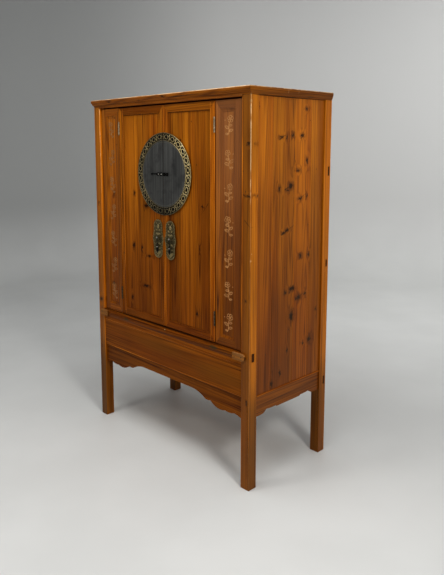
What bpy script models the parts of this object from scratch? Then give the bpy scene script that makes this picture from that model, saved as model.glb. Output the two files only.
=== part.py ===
"""A tall two-door cabinet on square legs, built as a joiner would build it.

Four posts run from the floor to a mitred top frame. Each half of the front is a narrow
leaf, which turns on wooden pivots beside its post, and a door hinged to that leaf.
Behind the deep front panel, under a loose floor board, lies a hidden compartment.

Metres, +Z up, front towards -Y. The origin lies on the floor, under the middle of the
box that holds the whole cabinet.
"""

import math

import bmesh
import bpy
from mathutils import Matrix, Vector
from mathutils.geometry import tessellate_polygon

# Overall sizes, over the posts
HEIGHT = 1.800
WIDTH = 1.165
DEPTH = 0.572

# Clearances
GAP = 0.0003            # between pieces that touch
MITRE_GAP = 0.0004      # along a member, at each mitred end
PIVOT_PLAY = 0.0005     # around a wooden pivot
PIN_PLAY = 0.0003       # around a metal pin
LOOSE_PLAY = 0.0010     # around the loose floor board
CUT_REACH = 0.010       # how far a cutting shape goes past the face it enters
HALF_ROUND = 0.0001     # what a round end lacks of a half circle

# Carcass
POST = 0.050
CORNICE_HEIGHT = 0.035
CORNICE_FRONT = 0.0155
CORNICE_SIDE = 0.0075
TOP_LEDGE = 0.010
TOP_PANEL_THICKNESS = 0.016
TOP_PANEL_DROP = 0.004
LIP_DROP = 0.008
LIP_DEPTH = 0.045
LIP_PROUD = 0.002
LIP_CHAMFER = 0.002
LIP_TONGUE = 0.004      # of the lip, let into the front rail
SILL_TOP = 0.641
SILL_HEIGHT = 0.037
SILL_DEPTH = 0.060
SILL_NOSE = 0.005
SILL_TENON_SETBACK = 0.016
SILL_TENON_THICKNESS = 0.016
SILL_TENON_SHOULDER = 0.001
FRONT_PANEL_RECESS = 0.004
APRON_TOP = 0.431
APRON_RECESS = 0.012
FRONT_SCALLOPS = ((0.3375, 0.0545), (0.2605, 0.075), (0.2105, 0.0805), (0.1105, 0.100),
                  (0.0545, 0.0955), (GAP, 0.1105))
FRONT_BULGES = (-0.004, 0.007, 0.014, 0.004, -0.003)
SIDE_SCALLOPS = ((0.151, 0.0855), (0.134, 0.081), (0.076, 0.0775), (0.046, 0.094), (GAP, 0.094))
SIDE_BULGES = (-0.002, 0.001, 0.004, 0.001)
BOARD = 0.014           # thickness of front panel, apron and side panels
SIDE_RECESS = 0.008
SIDE_RAIL_THICKNESS = 0.020
SIDE_TENON_THICKNESS = 0.008
SIDE_TENON_LOW = 0.403
SIDE_TENON_HEIGHT = 0.023
BACK_BOARD = 0.011
BACK_RAIL_THICKNESS = 0.030
BACK_TENON_THICKNESS = 0.012
BACK_TENON_SHOULDER = 0.003
BACK_RAILS = {"back_rail_bottom": (0.359, 0.400), "back_rail_middle": (0.963, 0.996)}
SEAM_WIDTH = 0.003      # V-groove between two boards of a panel
SEAM_DEPTH = 0.0015

# Inside
BOTTOM_BOARD_LOW = 0.4003
INNER_BOARD = 0.012
FLOOR_BOARD = 0.0147
FLOOR_DROP = 0.001
LID_DEPTH = 0.263       # of the loose floor board, front to back
FLOOR_LAP = 0.015
SHELF_LOW = 0.9965
SHELF_THICKNESS = 0.018
SHELF_SETBACK = 0.003   # behind the front posts

# Leaves and doors
LEAF_RECESS = 0.008
LEAF_THICKNESS = 0.026
LEAF_BOTTOM_GAP = 0.0035
LEAF_TOP_GAP = 0.0065
LEAF_POST_GAP = 0.0025
LEAF_SPAN = 0.1725      # from the post to the seam between leaf and door
HINGE_GAP = 0.0036
DOOR_GAP = 0.0030
STILE = 0.030
PIVOT_STILE = 0.045
RAIL = 0.036
PANEL_THICKNESS = 0.008
PANEL_RECESS = 0.006
GROOVE_DEPTH = 0.006
PIVOT_RADIUS = 0.007
PIVOT_UP = 0.0235
PIVOT_DOWN = 0.0232

# Hinges
HINGE_HEIGHT = 0.065
HINGE_ABOVE_FOOT = 0.116
HINGE_BELOW_TOP = 0.105
HINGE_PLATE = 0.0012
HINGE_PLATE_DEPTH = 0.022
KNUCKLE_RADIUS = 0.004
KNUCKLE_GAP = 0.0004
HINGE_PIN_RADIUS = 0.002
HINGE_TAB_DEPTH = 0.004
HINGE_HEAD_RADIUS = 0.0031
HINGE_TIP_RADIUS = 0.0018
HINGE_HEAD_HEIGHT = 0.0022
HINGE_TIP_HEIGHT = 0.003

# Brass and iron on the doors
PLATE_THICKNESS = 0.002
PLATE_RADIUS = 0.2025
PLATE_BELOW_TOP = 0.3345    # top of the doors to the plate's centre
LUG_INSIDES = (0.009, 0.031)
LUG_THICKNESS = 0.006
LUG_RADIUS = 0.008
LUG_REACH = 0.007
BOLT_RADIUS = 0.003
BOLT_HEAD_RADIUS = 0.0055
BOLT_HEAD_LENGTH = 0.005
BOLT_CHAMFER = 0.001
BOLT_LENGTH = 0.075
BOLT_END = -0.003
PULL_CENTRE_X = 0.047
PULL_BELOW_PLATE = 0.324    # centre to centre
PULL_HALF_WIDTH = 0.034
PULL_HALF_HEIGHT = 0.098
PULL_EAR = 0.0085
PULL_SHOULDER = 0.010
PULL_HOLLOW = 0.002
PULL_WAIST = 0.034      # half the height of the side ears
PULL_AXIS_RISE = 0.006  # of the drop's pin, above the plate's middle
PULL_BASE_RADIUS = 0.009
PULL_BASE_THICKNESS = 0.0025
PULL_AXIS_REACH = 0.0075
CHEEK_INSIDE = 0.003
CHEEK_THICKNESS = 0.0022
CHEEK_RADIUS = 0.0038
DROP_PIN_RADIUS = 0.0013
DROP_LENGTH = 0.078

# Pivot blocks nailed over the ends of the sill
BLOCK_PROUD = 0.011
BLOCK_REACH = 0.030     # from the pivot's axis towards the middle
BLOCK_OVER_POST = 0.028
BLOCK_HEIGHT = 0.033

# Planes and lines that the sizes above lead to
FRONT = (CORNICE_FRONT - DEPTH) / 2
BACK = FRONT + DEPTH
SIDE = WIDTH / 2
POST_INSIDE = SIDE - POST
POST_BEHIND = FRONT + POST
POST_BEFORE = BACK - POST
FRAME_LOW = HEIGHT - CORNICE_HEIGHT
LIP_LOW = FRAME_LOW - LIP_DROP
LEAF_FRONT = FRONT + LEAF_RECESS
LEAF_LOW = SILL_TOP + LEAF_BOTTOM_GAP
LEAF_HIGH = LIP_LOW - LEAF_TOP_GAP
LEAF_OUTSIDE = POST_INSIDE - LEAF_POST_GAP
LEAF_SEAM = POST_INSIDE - LEAF_SPAN
PIVOT_X = LEAF_OUTSIDE - LEAF_THICKNESS / 2
PIVOT_Y = LEAF_FRONT + LEAF_THICKNESS / 2
HINGE_Y = LEAF_FRONT - KNUCKLE_RADIUS - KNUCKLE_GAP
SIDE_PANEL_OUTSIDE = SIDE - SIDE_RECESS
SIDE_PANEL_INSIDE = SIDE_PANEL_OUTSIDE - BOARD
SIDE_RAIL_INSIDE = SIDE_PANEL_OUTSIDE - SIDE_RAIL_THICKNESS
BACK_PANEL_BACK = BACK - BACK_RAIL_THICKNESS - GAP
BACK_PANEL_FRONT = BACK_PANEL_BACK - BACK_BOARD
PLATE_FRONT = LEAF_FRONT - GAP - PLATE_THICKNESS
PLATE_CENTRE_Z = LEAF_HIGH - PLATE_BELOW_TOP
BOLT_Y = PLATE_FRONT - LUG_REACH
PULL_AXIS_Y = PLATE_FRONT - PULL_AXIS_REACH
PULL_CENTRE_Z = PLATE_CENTRE_Z - PULL_BELOW_PLATE
PULL_AXIS_Z = PULL_CENTRE_Z + PULL_AXIS_RISE
FLOOR_TOP = SILL_TOP - FLOOR_DROP
FLOOR_LOW = FLOOR_TOP - FLOOR_BOARD
FLOOR_FRONT = FRONT + SILL_DEPTH - FLOOR_LAP
FLOOR_SPLIT = FLOOR_FRONT + LID_DEPTH
HINGE_CENTRES = (LEAF_LOW + HINGE_ABOVE_FOOT, LEAF_HIGH - HINGE_BELOW_TOP)


# ---------------------------------------------------------------- making shapes

def clear_scene():
    for thing in list(bpy.data.objects):
        bpy.data.objects.remove(thing, do_unlink=True)


def make_material(name, colour, roughness, metallic=0.0):
    material = bpy.data.materials.new(name)
    material.use_nodes = True
    shader = material.node_tree.nodes["Principled BSDF"]
    shader.inputs["Base Color"].default_value = (*colour, 1.0)
    shader.inputs["Roughness"].default_value = roughness
    shader.inputs["Metallic"].default_value = metallic
    return material


def add_object(name, bm, material, smooth=False):
    """Turn a bmesh into a named object with outward faces."""
    bmesh.ops.recalc_face_normals(bm, faces=bm.faces)
    mesh = bpy.data.meshes.new(name)
    bm.to_mesh(mesh)
    bm.free()
    mesh.materials.append(material)
    if smooth:
        mesh.shade_smooth()
        mesh.set_sharp_from_angle(angle=math.radians(35))
    piece = bpy.data.objects.new(name, mesh)
    bpy.context.scene.collection.objects.link(piece)
    return piece


def loft(name, start, end, material, smooth=False, cap=None):
    """A solid between two rings of as many points. Cap lists the triangles of a bent end."""
    bm = bmesh.new()
    first = [bm.verts.new(point) for point in start]
    last = [bm.verts.new(point) for point in end]
    count = len(first)
    for i in range(count):
        j = (i + 1) % count
        bm.faces.new((first[i], first[j], last[j], last[i]))
    for ring in (first, last):
        for corners in cap or [range(count)]:
            bm.faces.new([ring[i] for i in corners])
    return add_object(name, bm, material, smooth)


def prism(name, outline, axis, low, high, material, smooth=False):
    """Extrude an outline along an axis. It lies in YZ, XZ or XY for axis x, y or z."""
    place = {
        "x": lambda a, b, c: (c, a, b),
        "y": lambda a, b, c: (a, c, b),
        "z": lambda a, b, c: (a, b, c),
    }[axis]
    start = [place(a, b, low) for a, b in outline]
    end = [place(a, b, high) for a, b in outline]
    return loft(name, start, end, material, smooth)


def box(name, low, high, material):
    outline = [(low[0], low[1]), (high[0], low[1]), (high[0], high[1]), (low[0], high[1])]
    return prism(name, outline, "z", low[2], high[2], material)


def sided_box(name, side, inner, outer, y, z, material):
    """A box at a distance from the centre line, on the left (-1) or the right (+1)."""
    x = sorted((side * inner, side * outer))
    return box(name, (x[0], y[0], z[0]), (x[1], y[1], z[1]), material)


def turned(name, profile, origin, axis, material, segments=16):
    """A turned solid. The profile holds (distance along the axis, radius)."""
    along = Vector(axis).normalized()
    across = along.orthogonal().normalized()
    third = along.cross(across)
    bm = bmesh.new()
    rings = []
    for distance, radius in profile:
        centre = Vector(origin) + along * distance
        ring = []
        for k in range(segments):
            angle = 2 * math.pi * k / segments
            offset = across * math.cos(angle) + third * math.sin(angle)
            ring.append(bm.verts.new(centre + offset * radius))
        rings.append(ring)
    for lower, upper in zip(rings, rings[1:]):
        for k in range(segments):
            m = (k + 1) % segments
            bm.faces.new((lower[k], lower[m], upper[m], upper[k]))
    bm.faces.new(reversed(rings[0]))
    bm.faces.new(rings[-1])
    return add_object(name, bm, material, smooth=True)


def arc(start, end, bulge, steps=8):
    """Points of an arc after start, up to end. A positive bulge lies to the right."""
    (x0, y0), (x1, y1) = start, end
    chord = math.hypot(x1 - x0, y1 - y0)
    radius = (chord * chord / 4 + bulge * bulge) / (2 * abs(bulge))
    sign = 1 if bulge > 0 else -1
    normal = ((y1 - y0) / chord * sign, -(x1 - x0) / chord * sign)
    back = radius - abs(bulge)
    centre = ((x0 + x1) / 2 - normal[0] * back, (y0 + y1) / 2 - normal[1] * back)
    first = math.atan2(y0 - centre[1], x0 - centre[0])
    sweep = 2 * math.asin(min(1.0, chord / (2 * radius))) * sign
    points = []
    for k in range(1, steps + 1):
        angle = first + sweep * k / steps
        points.append((centre[0] + radius * math.cos(angle), centre[1] + radius * math.sin(angle)))
    return points


def boolean(target, tool, operation):
    """Join a helper to a piece, or cut it out, and remove the helper."""
    modifier = target.modifiers.new("boolean", "BOOLEAN")
    modifier.object = tool
    modifier.operation = operation
    modifier.solver = "EXACT"
    depsgraph = bpy.context.evaluated_depsgraph_get()
    result = bpy.data.meshes.new_from_object(target.evaluated_get(depsgraph))
    target.modifiers.clear()
    target.data = result
    bpy.data.objects.remove(tool, do_unlink=True)


def fuse(target, tool):
    boolean(target, tool, "UNION")


def cut(target, tool):
    boolean(target, tool, "DIFFERENCE")


def axis_empty(name, position, parent=None):
    """An empty on a joint's axis, which carries the pieces that move about it."""
    empty = bpy.data.objects.new(name, None)
    bpy.context.scene.collection.objects.link(empty)
    if parent is None:
        empty.location = position
    else:
        empty.parent = parent
        empty.location = Vector(position) - Vector(parent["axis_point"])
    empty["axis_point"] = position
    return empty


def hang(pieces, empty):
    """Parent pieces that are modelled in place to the empty on their joint's axis."""
    for piece in pieces:
        piece.parent = empty
        piece.matrix_parent_inverse = Matrix.Translation(-Vector(empty["axis_point"]))


def boarded(start, end, face, rear, seams):
    """The outline of a panel of edge-joined boards, with a V-groove at each seam."""
    inward = SEAM_DEPTH if rear > face else -SEAM_DEPTH
    outline = [(start, face)]
    for seam in seams:
        outline.append((seam - SEAM_WIDTH / 2, face))
        outline.append((seam, face + inward))
        outline.append((seam + SEAM_WIDTH / 2, face))
    outline += [(end, face), (end, rear), (start, rear)]
    return outline


# ---------------------------------------------------------------- carcass

def make_posts(wood):
    """Four posts, mortised for the sill and for the side and back rails."""
    sill_mortise = (SILL_TOP - SILL_HEIGHT - GAP, SILL_TOP + GAP)
    sill_tenon_y = (FRONT + SILL_TENON_SETBACK - GAP,
                    FRONT + SILL_TENON_SETBACK + SILL_TENON_THICKNESS + GAP)
    rail_y = BACK - BACK_RAIL_THICKNESS / 2
    back_tenon_y = (rail_y - BACK_TENON_THICKNESS / 2 - GAP, rail_y + BACK_TENON_THICKNESS / 2 + GAP)
    tenon_x = SIDE_PANEL_OUTSIDE - SIDE_RAIL_THICKNESS / 2
    side_tenon = (tenon_x - SIDE_TENON_THICKNESS / 2 - GAP, tenon_x + SIDE_TENON_THICKNESS / 2 + GAP)
    side_mortise = (SIDE_TENON_LOW - GAP, SIDE_TENON_LOW + SIDE_TENON_HEIGHT + GAP)
    through = (POST_INSIDE - POST, SIDE + POST)
    for side, word in ((-1, "left"), (1, "right")):
        top = FRAME_LOW - GAP
        across = (POST_INSIDE, SIDE)
        front = sided_box(f"post_front_{word}", side, *across, (FRONT, POST_BEHIND), (0, top), wood)
        rear = sided_box(f"post_rear_{word}", side, *across, (POST_BEFORE, BACK), (0, top), wood)
        cut(front, sided_box("mortise", side, *through, sill_tenon_y, sill_mortise, wood))
        for low, high in BACK_RAILS.values():
            cut(rear, sided_box("mortise", side, *through, back_tenon_y, (low - GAP, high + GAP), wood))
        for post in (front, rear):
            cut(post, sided_box("mortise", side, *side_tenon, (FRONT - POST, BACK + POST),
                                side_mortise, wood))


def frame_corner(side, end, point):
    """Where a point of the cornice section lies at one corner of the top frame."""
    kind, value, z = point
    if kind == "over":
        x = SIDE + value * CORNICE_SIDE
        y = FRONT - value * CORNICE_FRONT if end < 0 else BACK
    else:
        x = SIDE - value
        y = FRONT + value if end < 0 else BACK - value
    return Vector((side * x, y, z))


def make_top_frame(wood):
    """A mitred frame with a moulded edge, and the panel that lies in its rebate."""
    ledge_top = HEIGHT - TOP_PANEL_DROP - TOP_PANEL_THICKNESS - GAP
    section = [
        ("in", POST + TOP_LEDGE, FRAME_LOW),
        ("over", 0.0, FRAME_LOW),
        ("over", 0.15, FRAME_LOW + 0.006),
        ("over", 0.55, FRAME_LOW + 0.010),
        ("over", 0.70, FRAME_LOW + 0.017),
        ("over", 0.90, FRAME_LOW + 0.019),
        ("over", 1.0, FRAME_LOW + 0.023),
        ("over", 1.0, HEIGHT - 0.003),
        ("over", 0.85, HEIGHT),
        ("in", POST, HEIGHT),
        ("in", POST, ledge_top),
        ("in", POST + TOP_LEDGE, ledge_top),
    ]
    members = {
        "top_rail_front": ((-1, -1), (1, -1)),
        "top_rail_right": ((1, -1), (1, 1)),
        "top_rail_rear": ((1, 1), (-1, 1)),
        "top_rail_left": ((-1, 1), (-1, -1)),
    }
    flat = []
    for kind, value, z in section:
        out = -value * CORNICE_FRONT if kind == "over" else value
        flat.append(Vector((out, z, 0)))
    cap = tessellate_polygon([flat])
    rails = {}
    for name, (start, end) in members.items():
        first = [frame_corner(*start, point) for point in section]
        last = [frame_corner(*end, point) for point in section]
        step = (last[1] - first[1]).normalized() * MITRE_GAP
        rails[name] = loft(name, [p + step for p in first], [p - step for p in last], wood, cap=cap)
    inner_x = POST_INSIDE - GAP
    top = HEIGHT - TOP_PANEL_DROP
    box("top_panel", (-inner_x, POST_BEHIND + GAP, top - TOP_PANEL_THICKNESS),
        (inner_x, POST_BEFORE - GAP, top), wood)
    return rails["top_rail_front"]


def add_lintel_lip(front_rail, wood):
    """The strip under the front rail that the leaves close below, with two pivot holes."""
    face = FRONT - LIP_PROUD
    rear = FRONT + LIP_DEPTH
    tongue = FRAME_LOW + LIP_TONGUE
    outline = [(face, LIP_LOW + LIP_CHAMFER), (face, FRAME_LOW - LIP_CHAMFER), (FRONT, tongue),
               (rear, tongue), (rear, LIP_LOW), (face + LIP_CHAMFER, LIP_LOW)]
    inner_x = POST_INSIDE - GAP
    fuse(front_rail, prism("lip", outline, "x", -inner_x, inner_x, wood))
    depth = LEAF_HIGH + PIVOT_UP + PIVOT_PLAY
    for side in (-1, 1):
        hole = [(LIP_LOW - CUT_REACH, PIVOT_RADIUS + PIVOT_PLAY), (depth, PIVOT_RADIUS + PIVOT_PLAY)]
        cut(front_rail, turned("hole", hole, (side * PIVOT_X, PIVOT_Y, 0), (0, 0, 1), wood))


def make_sill(wood):
    """The rail under the doors: round nose, rebate for the loose board, pivot holes."""
    low = SILL_TOP - SILL_HEIGHT
    rear = FRONT + SILL_DEPTH
    ledge = rear - FLOOR_LAP
    nose = arc((FRONT, SILL_TOP), (FRONT, low), SILL_NOSE)
    outline = [(FRONT, SILL_TOP)] + nose + [(rear, low), (rear, FLOOR_LOW - GAP),
                                            (ledge, FLOOR_LOW - GAP), (ledge, SILL_TOP)]
    inner_x = POST_INSIDE - GAP
    sill = prism("sill", outline, "x", -inner_x, inner_x, wood)
    tenon_y = FRONT + SILL_TENON_SETBACK
    fuse(sill, box("tenon", (-SIDE, tenon_y, low + SILL_TENON_SHOULDER),
                   (SIDE, tenon_y + SILL_TENON_THICKNESS, SILL_TOP - SILL_TENON_SHOULDER), wood))
    floor = LEAF_LOW - PIVOT_DOWN - GAP
    for side in (-1, 1):
        hole = [(floor, PIVOT_RADIUS + PIVOT_PLAY), (SILL_TOP + CUT_REACH, PIVOT_RADIUS + PIVOT_PLAY)]
        cut(sill, turned("hole", hole, (side * PIVOT_X, PIVOT_Y, 0), (0, 0, 1), wood))
        cut(sill, sided_box("seat", side, PIVOT_X - BLOCK_REACH - GAP, SIDE, (FRONT - POST, FRONT),
                            (low - GAP, SILL_TOP + GAP), wood))


def make_pivot_blocks(wood):
    """Round-ended blocks that cap the sill where each leaf pivots."""
    low = SILL_TOP - SILL_HEIGHT
    high = low + BLOCK_HEIGHT
    for side, word in ((-1, "left"), (1, "right")):
        inner = PIVOT_X - BLOCK_REACH
        outer = POST_INSIDE + BLOCK_OVER_POST - BLOCK_HEIGHT / 2
        tip = arc((outer, low), (outer, high), BLOCK_HEIGHT / 2 - HALF_ROUND, 12)
        outline = [(inner, low), (outer, low)] + tip + [(inner, high)]
        outline = [(side * a, b) for a, b in outline]
        prism(f"pivot_block_{word}", outline, "y", FRONT - BLOCK_PROUD, FRONT - GAP, wood)


def scallops(reach, cusps, bulges):
    """Half of an apron's lower edge. Cusps hold (distance from the post, drop below its top)."""
    places = [(reach - from_post, APRON_TOP - drop) for from_post, drop in cusps]
    points = [places[0]]
    for start, end, bulge in zip(places, places[1:], bulges):
        points += arc(start, end, bulge, 6)
    return points


def make_front_boards(wood):
    """The deep panel under the sill and the scalloped apron under it."""
    inner_x = POST_INSIDE - GAP
    face = FRONT + FRONT_PANEL_RECESS
    box("front_panel", (-inner_x, face, APRON_TOP + GAP),
        (inner_x, face + BOARD, SILL_TOP - SILL_HEIGHT - GAP), wood)
    half = scallops(POST_INSIDE, FRONT_SCALLOPS, FRONT_BULGES)
    lower = [(-x, z) for x, z in reversed(half)] + half
    outline = lower + [(inner_x, APRON_TOP - GAP), (-inner_x, APRON_TOP - GAP)]
    face = FRONT + APRON_RECESS
    prism("front_apron", outline, "y", face, face + BOARD, wood)


def make_sides(wood):
    """Boarded side panels over scalloped rails with through tenons."""
    middle = (POST_BEHIND + POST_BEFORE) / 2
    reach = (POST_BEFORE - POST_BEHIND) / 2 - GAP
    low, high = POST_BEHIND + GAP, POST_BEFORE - GAP
    seams = [POST_BEHIND + share * (POST_BEFORE - POST_BEHIND) for share in (0.22, 0.55, 0.80)]
    half = scallops(reach + GAP, SIDE_SCALLOPS, SIDE_BULGES)
    lower = [(middle - y, z) for y, z in reversed(half)] + [(middle + y, z) for y, z in half]
    rail_outline = lower + [(high, APRON_TOP - GAP), (low, APRON_TOP - GAP)]
    tenon_x = SIDE_PANEL_OUTSIDE - SIDE_RAIL_THICKNESS / 2
    tenon = (tenon_x - SIDE_TENON_THICKNESS / 2, tenon_x + SIDE_TENON_THICKNESS / 2)
    for side, word in ((-1, "left"), (1, "right")):
        outline = boarded(low, high, side * SIDE_PANEL_OUTSIDE, side * SIDE_PANEL_INSIDE, seams)
        prism(f"side_panel_{word}", [(x, y) for y, x in outline], "z",
              APRON_TOP + GAP, FRAME_LOW - GAP, wood)
        x = sorted((side * SIDE_PANEL_OUTSIDE, side * SIDE_RAIL_INSIDE))
        rail = prism(f"side_rail_{word}", rail_outline, "x", x[0], x[1], wood)
        fuse(rail, sided_box("tenon", side, *tenon, (FRONT, BACK),
                             (SIDE_TENON_LOW, SIDE_TENON_LOW + SIDE_TENON_HEIGHT), wood))


def make_back(wood):
    """A boarded back between the rear posts, which laps the rails behind it."""
    inner_x = POST_INSIDE - GAP
    low = BACK_RAILS["back_rail_bottom"][0]
    seams = [POST_INSIDE * share for share in (-0.66, -0.35, 0.0, 0.34, 0.69)]
    outline = boarded(-inner_x, inner_x, BACK_PANEL_BACK, BACK_PANEL_FRONT, seams)
    prism("back_panel", outline, "z", low, FRAME_LOW - GAP, wood)
    middle = BACK - BACK_RAIL_THICKNESS / 2
    tenon_y = (middle - BACK_TENON_THICKNESS / 2, middle + BACK_TENON_THICKNESS / 2)
    for name, (low, high) in BACK_RAILS.items():
        rail = box(name, (-inner_x, BACK - BACK_RAIL_THICKNESS, low - BACK_TENON_SHOULDER),
                   (inner_x, BACK, high + BACK_TENON_SHOULDER), wood)
        fuse(rail, box("tenon", (-SIDE, tenon_y[0], low), (SIDE, tenon_y[1], high), wood))


def notched(front, rear, half_width, notch_front, notch_rear, slack=GAP):
    """Plan of an inner board, stepped in where it passes between the posts."""
    narrow = POST_INSIDE - slack
    outline = []
    if notch_front:
        outline += [(-half_width, POST_BEHIND + slack), (-narrow, POST_BEHIND + slack), (-narrow, front),
                    (narrow, front), (narrow, POST_BEHIND + slack), (half_width, POST_BEHIND + slack)]
    else:
        outline += [(-half_width, front), (half_width, front)]
    if notch_rear:
        outline += [(half_width, POST_BEFORE - slack), (narrow, POST_BEFORE - slack), (narrow, rear),
                    (-narrow, rear), (-narrow, POST_BEFORE - slack), (-half_width, POST_BEFORE - slack)]
    else:
        outline += [(half_width, rear), (-half_width, rear)]
    return outline


def make_inside(wood):
    """Bottom of the hidden compartment, cabinet floor, loose floor board and shelf."""
    rear = BACK_PANEL_FRONT - GAP
    apron_back = FRONT + APRON_RECESS + BOARD + GAP
    plan = notched(apron_back, rear, SIDE_RAIL_INSIDE - GAP, True, True)
    prism("bottom_board", plan, "z", BOTTOM_BOARD_LOW, BOTTOM_BOARD_LOW + INNER_BOARD, wood)

    half = SIDE_PANEL_INSIDE - GAP
    step = FLOOR_TOP - FLOOR_BOARD / 2
    floor = prism("floor_board", notched(FLOOR_SPLIT - FLOOR_LAP, rear, half, False, True), "z",
                  FLOOR_LOW, FLOOR_TOP, wood)
    cut(floor, box("rebate", (-SIDE, FLOOR_SPLIT - 2 * FLOOR_LAP, step), (SIDE, FLOOR_SPLIT, HEIGHT), wood))

    ends = (FLOOR_FRONT + LOOSE_PLAY, FLOOR_SPLIT - LOOSE_PLAY)
    plan = notched(*ends, half - LOOSE_PLAY, True, False, LOOSE_PLAY)
    lid = prism("floor_lid", plan, "z", FLOOR_LOW, FLOOR_TOP, wood)
    under = FLOOR_SPLIT - FLOOR_LAP - LOOSE_PLAY
    cut(lid, box("rebate", (-SIDE, under, FLOOR_LOW - FLOOR_LAP), (SIDE, FLOOR_SPLIT, step + GAP), wood))

    plan = notched(POST_BEHIND + SHELF_SETBACK, rear, half, False, True)
    prism("shelf", plan, "z", SHELF_LOW, SHELF_LOW + SHELF_THICKNESS, wood)
    return lid


# ---------------------------------------------------------------- leaves and doors

def grooved(width):
    """Section of a frame member: across from its outer edge, and in from its face."""
    groove = (PANEL_RECESS - GAP, PANEL_RECESS + PANEL_THICKNESS + GAP)
    floor = width - GROOVE_DEPTH
    return [(0, 0), (width, 0), (width, groove[0]), (floor, groove[0]), (floor, groove[1]),
            (width, groove[1]), (width, LEAF_THICKNESS), (0, LEAF_THICKNESS)]


def make_stile(name, side, edge, inward, material):
    """A stile with mitred ends. Edge is its outer edge, inward is +1 or -1 across it."""
    rings = []
    for base, direction in ((LEAF_LOW, 1), (LEAF_HIGH, -1)):
        ring = []
        for u, d in grooved(STILE):
            z = base + direction * (MITRE_GAP + u * RAIL / STILE)
            ring.append((side * (edge + inward * u), LEAF_FRONT + d, z))
        rings.append(ring)
    return loft(name, rings[0], rings[1], material)


def make_rail(name, side, near, far, mitre_far, edge, upward, material):
    """A rail between two stiles, mitred at the near end and, if told to, at the far end."""
    rings = []
    for end, direction, mitred in ((near, 1, True), (far, -1, mitre_far)):
        ring = []
        for v, d in grooved(RAIL):
            lean = MITRE_GAP + v * STILE / RAIL if mitred else GAP
            ring.append((side * (end + direction * lean), LEAF_FRONT + d, edge + upward * v))
        rings.append(ring)
    return loft(name, rings[0], rings[1], material)


def make_panel(name, side, near, far, seams, material):
    """The floating panel in the grooves of a frame whose inside runs from near to far."""
    tongue = GROOVE_DEPTH - GAP
    face = LEAF_FRONT + PANEL_RECESS
    ends = sorted((side * (near - tongue), side * (far + tongue)))
    places = sorted(side * (near + share * (far - near)) for share in seams)
    outline = boarded(ends[0], ends[1], face, face + PANEL_THICKNESS, places)
    return prism(name, outline, "z", LEAF_LOW + RAIL - tongue, LEAF_HIGH - RAIL + tongue, material)


def make_leaf(side, word, wood):
    """The narrow outer leaf: its outer stile is rounded and ends in two wooden pivots."""
    near = LEAF_SEAM + HINGE_GAP / 2
    shoulder = LEAF_OUTSIDE - PIVOT_STILE
    half = LEAF_THICKNESS / 2
    groove = (PANEL_RECESS - GAP, PANEL_RECESS + PANEL_THICKNESS + GAP)
    round_edge = arc((PIVOT_X, 0), (PIVOT_X, LEAF_THICKNESS), half - HALF_ROUND, 16)
    section = [(shoulder, 0), (PIVOT_X, 0)] + round_edge
    section += [(shoulder, LEAF_THICKNESS), (shoulder, groove[1]), (shoulder + GROOVE_DEPTH, groove[1]),
                (shoulder + GROOVE_DEPTH, groove[0]), (shoulder, groove[0])]
    section = [(side * a, LEAF_FRONT + d) for a, d in section]
    name = f"leaf_{word}"
    post = prism(f"{name}_pivot_stile", section, "z", LEAF_LOW, LEAF_HIGH, wood, smooth=True)
    ends = [(LEAF_LOW - PIVOT_DOWN, PIVOT_RADIUS), (LEAF_HIGH + PIVOT_UP, PIVOT_RADIUS)]
    fuse(post, turned("pivot", ends, (side * PIVOT_X, PIVOT_Y, 0), (0, 0, 1), wood))
    return [
        post,
        make_stile(f"{name}_inner_stile", side, near, 1, wood),
        make_rail(f"{name}_top_rail", side, near, shoulder, False, LEAF_HIGH, -1, wood),
        make_rail(f"{name}_bottom_rail", side, near, shoulder, False, LEAF_LOW, 1, wood),
        make_panel(f"{name}_panel", side, near + STILE, shoulder, (), wood),
    ]


def make_door(side, word, wood):
    """The wide inner door: a mitred frame around a panel of boards."""
    near = DOOR_GAP / 2
    far = LEAF_SEAM - HINGE_GAP / 2
    name = f"door_{word}"
    return [
        make_stile(f"{name}_meeting_stile", side, near, 1, wood),
        make_stile(f"{name}_hinge_stile", side, far, -1, wood),
        make_rail(f"{name}_top_rail", side, near, far, True, LEAF_HIGH, -1, wood),
        make_rail(f"{name}_bottom_rail", side, near, far, True, LEAF_LOW, 1, wood),
        make_panel(f"{name}_panel", side, near + STILE, far - STILE, (0.28, 0.63), wood),
    ]


# ---------------------------------------------------------------- metalwork

def hinge_half(name, side, outward, centre, levels, iron):
    """A hinge plate in the seam with its knuckles. Outward is +1 on the leaf's side."""
    near, far = HINGE_GAP / 2 - GAP - HINGE_PLATE, HINGE_GAP / 2 - GAP
    offsets = (LEAF_SEAM + outward * near, LEAF_SEAM + outward * far)
    bottom = centre - HINGE_HEIGHT / 2
    plate = sided_box(name, side, *offsets, (LEAF_FRONT + GAP, LEAF_FRONT + HINGE_PLATE_DEPTH),
                      (bottom, bottom + HINGE_HEIGHT), iron)
    third = HINGE_HEIGHT / 3
    for level in levels:
        low = bottom + level * third + KNUCKLE_GAP / 2
        high = bottom + (level + 1) * third - KNUCKLE_GAP / 2
        tab = sided_box("tab", side, *offsets, (HINGE_Y, LEAF_FRONT + HINGE_TAB_DEPTH), (low, high), iron)
        fuse(plate, tab)
        knuckle = [(low, KNUCKLE_RADIUS), (high, KNUCKLE_RADIUS)]
        fuse(plate, turned("knuckle", knuckle, (side * LEAF_SEAM, HINGE_Y, 0), (0, 0, 1), iron, 20))
    return plate


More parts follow.
